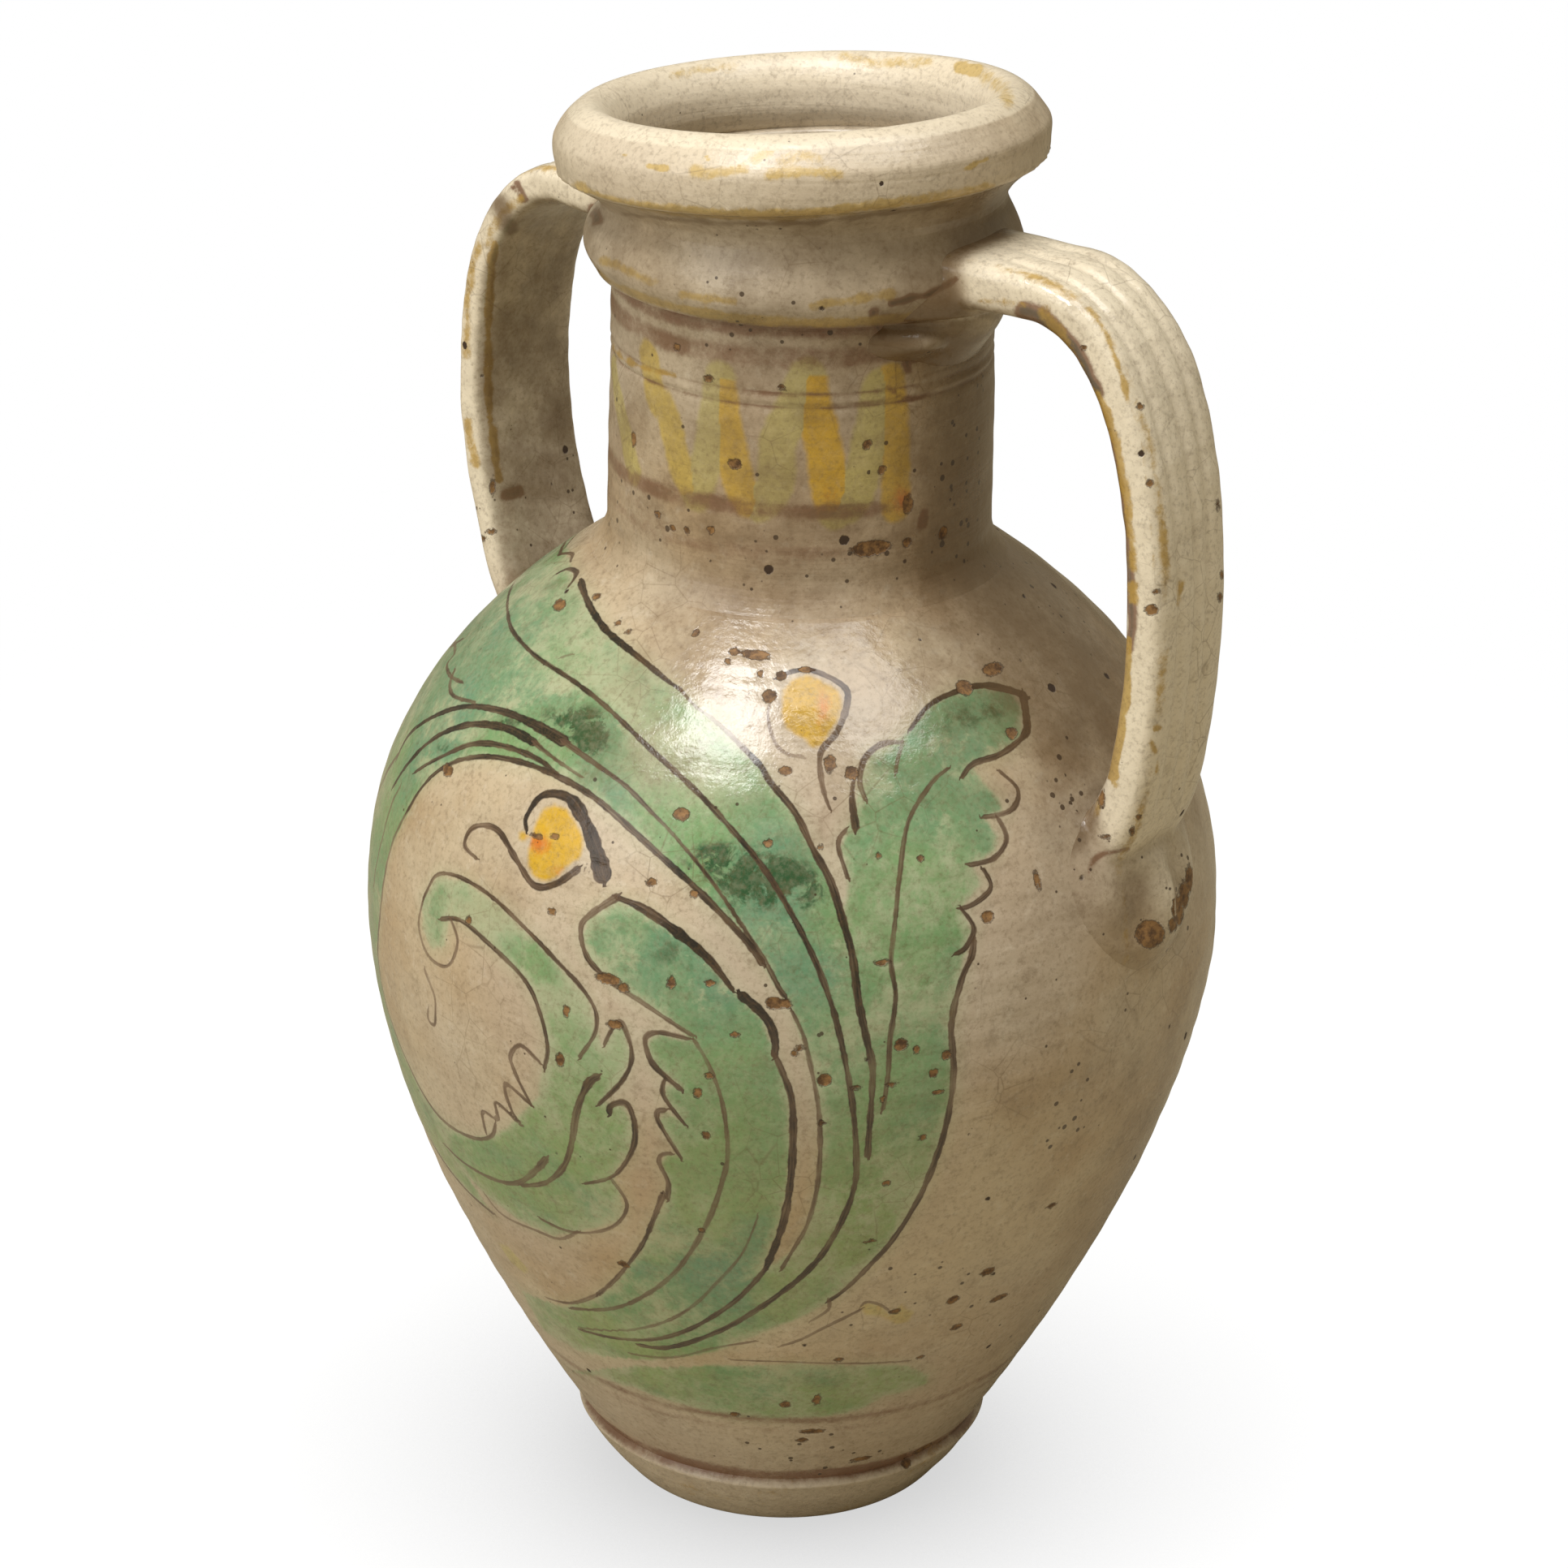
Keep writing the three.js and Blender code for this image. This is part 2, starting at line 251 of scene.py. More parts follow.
# Painted ornament, read off the photograph. Places are pixels of its 1932 by 1932 frame.
# A stroke is its widths in pixels at start, middle and end, how dark it is, and its places. A wash is
# an outline; a bud is how strong and how orange it is, and its outline; a zigzag stroke is its width,
# how strong and how orange it is, and its places; a flake is its place, width and height.
strokes = dict(
    stemEdgeTop=((8, 8, 4), 1.0, [(711, 717), (721, 746), (738, 773), (755, 789), (790, 816), (819, 839),
        (837, 851)]),
    stemEdgePale=((3, 4, 6), 0.45, [(837, 851), (855, 871), (879, 889), (917, 924)]),
    stemEdge=((6, 9, 7), 0.85, [(917, 924), (938, 946), (949, 965), (980, 1003), (1002, 1048),
        (1023, 1086), (1039, 1136), (1051, 1179), (1058, 1232), (1068, 1279), (1076, 1314), (1076, 1338),
        (1073, 1385), (1070, 1426)]),
    stemVein=((4, 7, 7), 0.8, [(643, 705), (628, 723), (623, 761), (631, 782), (658, 811), (705, 842),
        (752, 879), (802, 926), (855, 974), (896, 1018), (938, 1068), (973, 1124), (1004, 1185),
        (1026, 1243), (1040, 1299), (1051, 1361), (1056, 1420), (1055, 1458), (1043, 1496), (1015, 1546),
        (981, 1581), (928, 1619), (875, 1647), (819, 1663), (787, 1660)]),
    arcOne=((5, 7, 12), 0.9, [(486, 935), (500, 907), (528, 885), (569, 871), (616, 877), (658, 895),
        (691, 914)]),
    arcOneThin=((6, 4, 6), 0.7, [(691, 914), (722, 936), (766, 967), (797, 998), (831, 1033), (879, 1092),
        (936, 1177), (958, 1217), (966, 1229)]),
    trunkLeft=((4, 6, 4), 0.55, [(976, 1249), (990, 1279), (1000, 1320), (1008, 1361), (1011, 1402),
        (1010, 1440), (1005, 1478), (993, 1516), (975, 1546), (963, 1566)]),
    arcTwo=((5, 8, 11), 0.95, [(481, 970), (505, 935), (537, 907), (578, 893), (622, 898), (656, 916)]),
    arcTwoThin=((5, 4, 3), 0.6, [(656, 916), (684, 938), (713, 958)]),
    arcThree=((4, 8, 4), 0.8, [(508, 952), (543, 932), (581, 917), (622, 921), (663, 938), (684, 955)]),
    arcFour=((5, 7, 8), 0.85, [(499, 999), (525, 961), (558, 939), (599, 933), (646, 942), (693, 962),
        (740, 992), (802, 1047), (858, 1098), (914, 1156), (938, 1188)]),
    scrollInner=((5, 5, 5), 0.55, [(500, 998), (487, 1022), (477, 1051), (466, 1119), (463, 1172),
        (475, 1239), (496, 1298), (525, 1356), (549, 1385), (581, 1403), (603, 1401), (608, 1385)]),
    scrollLimb=((4, 4, 3), 0.45, [(490, 969), (478, 995), (469, 1028), (462, 1060), (458, 1092)]),
    leafScallopA=((5, 5, 4), 0.6, [(557, 785), (558, 803), (548, 818), (552, 833), (566, 841)]),
    leafScallopB=((5, 5, 4), 0.6, [(557, 826), (551, 843), (556, 858), (582, 866)]),
    leafCurlA=((6, 5, 4), 0.75, [(687, 683), (702, 682), (700, 691)]),
    leafCurlB=((4, 7, 4), 0.8, [(683, 707), (696, 701), (706, 705), (703, 714), (696, 723)]),
    leafCurlC=((4, 4, 3), 0.4, [(712, 650), (703, 664), (693, 676)]),
    leafTick=((3, 4, 3), 0.4, [(687, 811), (700, 807)]),
    budOneInkLeft=((4, 4, 3), 0.35, [(988, 933), (973, 931), (958, 921), (949, 901), (946, 880),
        (949, 865)]),
    budOneInk=((4, 9, 4), 0.75, [(958, 836), (979, 828), (1003, 828), (1039, 846), (1045, 865),
        (1032, 903), (1011, 930), (1014, 971), (1023, 998)]),
    lobeTop=((4, 7, 12), 0.9, [(1123, 901), (1146, 871), (1182, 853), (1214, 846), (1249, 852),
        (1264, 858)]),
    lobeTopTip=((12, 8, 6), 0.9, [(1264, 858), (1268, 885), (1266, 906), (1238, 930), (1202, 943),
        (1188, 959)]),
    lobeInner=((4, 4, 4), 0.55, [(1114, 915), (1107, 939), (1105, 953)]),
    lobeLeftA=((5, 7, 5), 0.65, [(1110, 916), (1088, 918), (1066, 936), (1060, 965), (1067, 986)]),
    lobeLeftB=((4, 5, 9), 0.75, [(1055, 956), (1051, 971), (1051, 992), (1055, 1021)]),
    lobeLeftC=((4, 6, 4), 0.7, [(1043, 1024), (1035, 1033), (1034, 1048), (1045, 1083)]),
    scallopOne=((5, 6, 5), 0.7, [(1236, 953), (1255, 971), (1257, 986), (1249, 999), (1232, 1006),
        (1214, 1008)]),
    scallopTwo=((5, 6, 5), 0.7, [(1233, 1011), (1243, 1036), (1226, 1059), (1196, 1067)]),
    scallopThree=((5, 6, 5), 0.7, [(1214, 1073), (1223, 1095), (1202, 1115), (1186, 1121)]),
    scallopFour=((4, 6, 5), 0.7, [(1186, 1121), (1202, 1145), (1193, 1168), (1180, 1177)]),
    leafRight=((7, 8, 5), 0.75, [(1202, 1162), (1199, 1180), (1186, 1211), (1174, 1264), (1177, 1323),
        (1170, 1379), (1154, 1432), (1134, 1478), (1103, 1528), (1072, 1562), (1040, 1593),
        (1022, 1605)]),
    leafRightTail=((5, 5, 3), 0.4, [(1022, 1605), (1021, 1616), (1000, 1630)]),
    leafVein=((4, 6, 5), 0.7, [(1170, 948), (1148, 968), (1120, 1015), (1110, 1077), (1104, 1138),
        (1099, 1188), (1105, 1229), (1098, 1285), (1096, 1323), (1089, 1370)]),
    budTwoInk=((5, 12, 24), 1.0, [(646, 1023), (646, 1007), (666, 981), (696, 983), (715, 1007),
        (731, 1045), (740, 1078)]),
    budTwoTail=((9, 7, 4), 0.85, [(709, 1073), (681, 1091), (655, 1092), (633, 1060), (609, 1023),
        (581, 1020), (569, 1042), (584, 1059)]),
    curlOuter=((4, 5, 5), 0.7, [(519, 1107), (537, 1078), (572, 1086), (616, 1117), (675, 1176),
        (724, 1231), (733, 1269), (713, 1303)]),
    curlSpiral=((4, 4, 4), 0.55, [(519, 1107), (513, 1142), (525, 1178), (549, 1191), (561, 1163),
        (552, 1133)]),
    curlInner=((5, 6, 5), 0.75, [(540, 1133), (566, 1136), (605, 1169), (643, 1207), (662, 1245),
        (673, 1290), (669, 1317)]),
    hook=((4, 4, 3), 0.5, [(521, 1197), (533, 1231), (533, 1263), (525, 1257), (525, 1244)]),
    squiggleTop=((4, 6, 4), 0.7, [(663, 1310), (640, 1289), (627, 1301), (631, 1319), (652, 1362)]),
    squiggle=((5, 5, 4), 0.6, [(652, 1362), (620, 1336), (628, 1370), (641, 1388), (608, 1359),
        (611, 1381), (592, 1370), (596, 1395)]),
    midLeafTop=((7, 12, 6), 0.95, [(758, 1107), (793, 1123), (837, 1154), (873, 1185), (901, 1221)]),
    midLeafTip=((10, 7, 5), 0.8, [(758, 1107), (722, 1131), (713, 1148), (722, 1183), (752, 1213)]),
    midLeafUnder=((5, 5, 4), 0.6, [(752, 1213), (793, 1239), (834, 1267), (852, 1278)]),
    midLeafBlack=((12, 11, 8), 1.0, [(914, 1230), (932, 1245), (948, 1264), (955, 1287), (954, 1302)]),
    midLeafRight=((6, 9, 8), 0.85, [(954, 1302), (965, 1326), (976, 1361), (977, 1414), (973, 1467),
        (963, 1516), (943, 1566)]),
    midLeafRightTail=((6, 6, 4), 0.7, [(943, 1566), (908, 1603), (855, 1637), (808, 1652), (757, 1651),
        (713, 1640)]),
    midLeafVein=((4, 6, 5), 0.6, [(855, 1285), (873, 1317), (889, 1361), (896, 1420), (889, 1458),
        (869, 1512), (831, 1569), (784, 1603), (746, 1615), (702, 1613)]),
    midLeafLobeA=((5, 7, 6), 0.75, [(847, 1282), (811, 1274), (794, 1280), (797, 1301), (808, 1319),
        (837, 1344)]),
    midLeafLobeB=((4, 6, 4), 0.7, [(818, 1332), (815, 1341), (818, 1356), (843, 1388)]),
    midLeafLobeC=((6, 6, 4), 0.7, [(818, 1370), (809, 1371), (809, 1382), (825, 1409), (838, 1429)]),
    midLeafLobeD=((5, 5, 6), 0.65, [(824, 1423), (813, 1425), (811, 1435), (822, 1459), (821, 1478)]),
    midLeafLeft=((7, 5, 5), 0.7, [(815, 1475), (803, 1506), (788, 1538), (758, 1576), (734, 1597)]),
    midLeafLeftTail=((5, 4, 3), 0.5, [(734, 1597), (702, 1607), (672, 1600)]),
    trunkThin=((2, 4, 4), 0.45, [(934, 1500), (915, 1545), (887, 1578), (846, 1616), (793, 1638),
        (713, 1638)]),
    trunkLow=((3, 4, 3), 0.4, [(930, 1655), (881, 1663), (825, 1675), (775, 1670)]),
    lowLeafLobeA=((5, 6, 5), 0.7, [(743, 1288), (756, 1264), (766, 1264), (777, 1301), (766, 1332),
        (736, 1362)]),
    lowLeafStem=((10, 8, 5), 0.65, [(734, 1328), (722, 1338), (709, 1370), (702, 1412), (691, 1441),
        (669, 1459), (640, 1462)]),
    lowLeafLobeB=((8, 7, 4), 0.75, [(749, 1372), (752, 1363), (771, 1362), (781, 1391), (777, 1420),
        (755, 1450), (719, 1460)]),
    lowLeafLobeC=((4, 4, 4), 0.5, [(753, 1456), (771, 1485), (759, 1509), (731, 1520), (696, 1518),
        (663, 1503)]),
    lowLeafUnder=((3, 4, 4), 0.45, [(596, 1473), (616, 1497), (657, 1517), (687, 1528), (710, 1519)]),
    lowLeafDash=((9, 6, 3), 0.6, [(671, 1429), (657, 1444), (634, 1459), (604, 1453), (569, 1432),
        (546, 1409)]),
    thirdBudStalk=((4, 5, 3), 0.5, [(1061, 1616), (1016, 1638), (987, 1653), (963, 1661)]),
    thirdBudInk=((3, 4, 3), 0.35, [(1062, 1612), (1068, 1606), (1085, 1609), (1098, 1618)]),
    footEdge=((3, 3, 2), 0.35, [(1120, 1678), (1040, 1682), (960, 1680), (900, 1678)]),
)
washes = dict(
    stemAndLeaf=[(712, 652), (700, 690), (705, 715), (716, 730), (738, 773), (790, 816), (837, 851),
        (879, 889), (938, 946), (980, 1003), (1023, 1086), (1040, 1130), (1046, 1090), (1036, 1045),
        (1045, 1022), (1054, 1000), (1060, 960), (1072, 930), (1105, 915), (1123, 901), (1146, 871),
        (1182, 853), (1214, 846), (1249, 854), (1264, 877), (1262, 906), (1238, 930), (1200, 945),
        (1215, 965), (1232, 985), (1238, 1000), (1215, 1010), (1232, 1030), (1228, 1050), (1200, 1067),
        (1212, 1090), (1186, 1121), (1198, 1148), (1190, 1180), (1174, 1264), (1177, 1323), (1170, 1379),
        (1154, 1432), (1134, 1478), (1103, 1528), (1040, 1593), (1000, 1620), (950, 1640), (880, 1668),
        (800, 1678), (720, 1668), (668, 1640), (640, 1590), (700, 1612), (746, 1615), (800, 1600),
        (860, 1590), (930, 1570), (975, 1546), (993, 1516), (1005, 1478), (1011, 1420), (1008, 1361),
        (1000, 1320), (976, 1249), (938, 1188), (914, 1156), (858, 1098), (802, 1047), (740, 992),
        (693, 962), (646, 942), (599, 933), (558, 939), (525, 961), (499, 999), (477, 1051), (466, 1119),
        (463, 1172), (475, 1239), (496, 1298), (525, 1356), (549, 1385), (581, 1403), (603, 1400),
        (625, 1390), (660, 1352), (668, 1317), (673, 1285), (660, 1240), (643, 1207), (605, 1169),
        (566, 1136), (552, 1133), (545, 1165), (530, 1170), (517, 1142), (519, 1107), (537, 1080),
        (572, 1088), (616, 1119), (675, 1176), (724, 1231), (733, 1269), (740, 1290), (756, 1266),
        (768, 1268), (776, 1301), (766, 1332), (745, 1358), (768, 1362), (780, 1391), (777, 1420),
        (755, 1450), (765, 1475), (768, 1490), (759, 1508), (713, 1519), (680, 1524), (640, 1506),
        (596, 1473), (560, 1430), (530, 1390), (505, 1330), (485, 1270)],
    midLeaf=[(758, 1110), (793, 1125), (837, 1156), (873, 1187), (901, 1223), (921, 1239), (940, 1258),
        (950, 1290), (965, 1326), (973, 1361), (975, 1414), (970, 1467), (960, 1516), (940, 1566),
        (900, 1605), (855, 1637), (808, 1652), (757, 1651), (713, 1640), (690, 1610), (734, 1600),
        (758, 1578), (788, 1540), (803, 1508), (821, 1475), (822, 1459), (813, 1435), (820, 1424),
        (838, 1425), (825, 1409), (811, 1382), (818, 1371), (840, 1384), (818, 1356), (818, 1338),
        (835, 1342), (808, 1319), (797, 1301), (795, 1284), (811, 1276), (847, 1282), (834, 1267),
        (793, 1239), (752, 1213), (722, 1183), (715, 1160), (722, 1133)],
    footStroke=[(700, 1690), (780, 1685), (880, 1684), (980, 1682), (1080, 1682), (1120, 1684),
        (1145, 1695), (1143, 1706), (1120, 1715), (1090, 1722), (1063, 1738), (1016, 1748), (957, 1751),
        (899, 1748), (840, 1733), (780, 1712), (740, 1698)],
)
buds = dict(
    budOne=(0.95, 0.0, [(967, 851), (976, 839), (993, 833), (1011, 839), (1032, 851), (1038, 868),
        (1035, 886), (1023, 901), (1014, 918), (1002, 924), (985, 909), (967, 898), (961, 875)]),
    budTwo=(1.0, 0.05, [(666, 998), (681, 992), (696, 998), (715, 1031), (716, 1045), (711, 1060),
        (696, 1069), (684, 1081), (672, 1089), (658, 1083), (649, 1069), (647, 1051), (652, 1036),
        (656, 1019)]),
    budDot=(0.9, 0.0, [(636, 1026), (645, 1026), (649, 1033), (643, 1039), (636, 1036)]),
    budThree=(0.55, 0.4, [(1058, 1612), (1068, 1607), (1085, 1610), (1098, 1622), (1112, 1608),
        (1126, 1618), (1122, 1630), (1105, 1632), (1088, 1624), (1070, 1622)]),
    faintYellow=(0.4, 0.1, [(612, 1533), (622, 1535), (640, 1555), (649, 1565), (644, 1570),
        (628, 1556)]),
)
zigzags = dict(
    zigOne=(38, 0.6, 0.0, [(751, 456), (762, 520), (775, 580)]),
    zigTwo=(42, 0.75, 0.0, [(794, 440), (803, 491), (816, 505), (834, 573), (854, 611)]),
    zigTwoUp=(45, 0.5, 0.0, [(854, 611), (870, 560), (885, 467)]),
    zigThree=(45, 0.85, 0.05, [(885, 467), (892, 522), (913, 608), (933, 622)]),
    zigThreeUp=(48, 0.5, 0.0, [(933, 622), (954, 601), (958, 546), (975, 511), (995, 463)]),
    zigFour=(48, 0.95, 0.1, [(995, 463), (1002, 498), (1016, 553), (1023, 601), (1030, 632)]),
    zigFourUp=(48, 0.55, 0.0, [(1030, 632), (1054, 615), (1068, 567), (1078, 515), (1085, 477)]),
    zigFive=(42, 0.85, 0.12, [(1098, 468), (1106, 550), (1106, 625)]),
)
flakes = [
    (831, 429, 6, 6), (870, 468, 10, 6), (963, 479, 8, 5), (1070, 549, 10, 10), (1088, 580, 9, 9),
    (904, 573, 14, 10), (775, 542, 5, 14), (1121, 623, 10, 19), (874, 654, 8, 8),
    (1075, 677, 45, 17), (1120, 670, 9, 9), (1165, 658, 10, 15), (806, 635, 6, 6), (825, 652, 6, 6),
    (843, 655, 5, 5), (549, 949, 10, 10), (684, 746, 10, 10), (730, 736, 6, 6), (756, 769, 5, 5),
    (770, 779, 5, 5), (855, 782, 7, 7), (930, 808, 32, 10), (904, 804, 12, 8), (948, 859, 16, 15),
    (963, 834, 12, 10), (993, 827, 15, 7), (895, 816, 6, 6), (936, 831, 6, 6), (968, 951, 13, 10),
    (1023, 942, 13, 18), (1050, 954, 15, 15), (1227, 826, 22, 12), (1191, 849, 18, 16),
    (1250, 905, 12, 12), (946, 1041, 10, 10), (838, 1005, 18, 14), (854, 1103, 9, 9), (1083, 1056, 7, 6),
    (1136, 1059, 7, 6), (1219, 1131, 13, 13), (1280, 1086, 6, 18), (1011, 1045, 6, 6), (658, 1031, 10, 5),
    (681, 1032, 7, 6), (574, 1135, 6, 9), (801, 1089, 10, 8), (747, 1208, 26, 12), (766, 1219, 13, 9),
    (825, 1213, 9, 13), (677, 1125, 8, 8), (756, 1264, 16, 9), (696, 1247, 6, 12), (688, 1307, 9, 15),
    (953, 1239, 18, 14), (969, 1240, 12, 12), (986, 1294, 8, 5), (979, 1301, 7, 6), (1016, 1334, 16, 14),
    (1112, 1290, 15, 13), (1131, 1296, 5, 7), (1168, 1302, 10, 10), (1152, 1324, 9, 9),
    (1056, 1343, 9, 4), (1100, 1339, 9, 4), (1158, 1348, 9, 4), (1089, 1357, 6, 6), (1013, 1387, 8, 5),
    (1139, 1404, 8, 6), (1094, 1461, 8, 6), (858, 1349, 9, 11), (869, 1401, 9, 8), (873, 1328, 9, 6),
    (905, 1278, 7, 4), (873, 1214, 10, 6), (1088, 1188, 14, 7), (766, 1560, 12, 7), (863, 1518, 6, 4),
    (1072, 1532, 10, 3), (1219, 1568, 16, 8), (1176, 1603, 14, 9), (1104, 1617, 11, 6),
    (1180, 1636, 12, 6), (1233, 1600, 20, 6), (1135, 1674, 8, 4), (1034, 1678, 10, 4),
    (1007, 1727, 8, 12), (968, 1733, 12, 8), (905, 1745, 10, 5), (989, 1777, 12, 5), (1062, 1800, 22, 5),
    (1140, 1787, 20, 8), (1119, 1805, 9, 9), (1001, 1766, 26, 5), (1298, 1487, 10, 5),
]
# On the side that the photograph does not show, places are (mm round the widest circle from the
# middle of the painted side, mm above the table), and widths are in pixels as above.
hiddenStrokes = dict(
    scrollOuter=((6, 8, 5), 0.7, [(-90, 224), (-98, 214), (-105, 200), (-108, 184), (-107, 168),
        (-102, 152), (-92, 138), (-78, 126), (-60, 116), (-42, 110), (-26, 107)]),
    leafBack=((5, 7, 5), 0.7, [(-196, 262), (-190, 254), (-176, 250), (-160, 250), (-146, 247),
        (-134, 248), (-124, 245), (-112, 251)]),
    leafBackTop=((4, 6, 5), 0.7, [(-196, 262), (-188, 268), (-172, 271), (-154, 273), (-136, 275),
        (-119, 276)]),
    tendril=((5, 6, 4), 0.6, [(-108, 176), (-118, 186), (-130, 188), (-138, 180), (-134, 170),
        (-125, 170)]),
    tendrilLow=((5, 6, 4), 0.6, [(-101, 148), (-114, 146), (-127, 138), (-131, 126), (-123, 119),
        (-116, 125)]),
)
hiddenWashes = dict(
    leaf=[(-112, 278), (-112, 251), (-124, 246), (-134, 248), (-146, 247), (-160, 250), (-176, 250),
        (-190, 254), (-196, 262), (-188, 268), (-172, 271), (-154, 273), (-136, 275)],
    scroll=[(-60, 219), (-66, 204), (-68, 187), (-71, 173), (-67, 158), (-58, 147), (-50, 140),
        (-26, 107), (-42, 110), (-60, 116), (-78, 126), (-92, 138), (-102, 152), (-107, 168), (-108, 184),
        (-105, 200), (-98, 214), (-90, 224), (-78, 236)],
)
# Where the green lies thick (positive) or thin: pixel place, half width and height, strength
poolsAndHighlight = [
    (726, 905, 24, 24, 2.2), (696, 888, 46, 20, 1.0), (625, 890, 26, 9, 0.9), (540, 922, 22, 8, 0.8),
    (930, 1086, 60, 34, 1.3), (882, 1058, 40, 16, 1.3), (985, 1098, 36, 26, 0.8),
    (600, 850, 60, 30, 0.15), (1185, 890, 44, 26, 0.6), (1140, 980, 30, 40, 0.45),
    (1232, 872, 24, 18, 0.5), (830, 1178, 50, 28, 0.55), (880, 1235, 40, 40, 0.35),
    (930, 1400, 30, 70, 0.15), (1012, 1150, 20, 60, 0.35), (1060, 1450, 26, 60, 0.3),
    # the thin spots at (760, 870), (820, 930) and (905, 965) pale the green where the shoulder's highlight
    # falls: painted highlight
    (650, 1445, 50, 26, 0.25), (760, 870, 40, 40, -0.3), (820, 930, 60, 44, -0.3),
    (905, 965, 50, 30, -0.25), (600, 1140, 50, 30, -0.3), (700, 1230, 40, 40, -0.25),
    (480, 1050, 20, 90, 0.2), (760, 1300, 40, 40, -0.2),
]
# Where the yellow turns to orange, listed in the same way
orangeSpots = [
    (1014, 872, 12, 26, 0.8), (661, 1041, 16, 14, 0.9), (684, 1075, 14, 10, 0.5),
    (1026, 616, 18, 22, 0.3), (1114, 618, 14, 20, 0.7), (930, 610, 16, 18, 0.2),
]
# Where dark specks crowd together: pixel place, half width and height, strength
speckled = [
    (1320, 1390, 34, 80, 0.55), (1325, 735, 60, 40, 0.5), (1318, 990, 30, 60, 0.6),
    (1180, 580, 50, 130, 0.35), (1000, 690, 220, 30, 0.35), (780, 640, 60, 60, 0.3),
    (1450, 1120, 30, 120, 0.35), (1150, 1600, 140, 70, 0.35), (1000, 1790, 160, 30, 0.4),
    (700, 1000, 120, 60, 0.15), (880, 380, 160, 60, 0.25), (990, 960, 60, 60, 0.3),
    (1230, 960, 50, 80, 0.25), (880, 130, 80, 14, 0.5), (1000, 1300, 160, 120, 0.15),
]
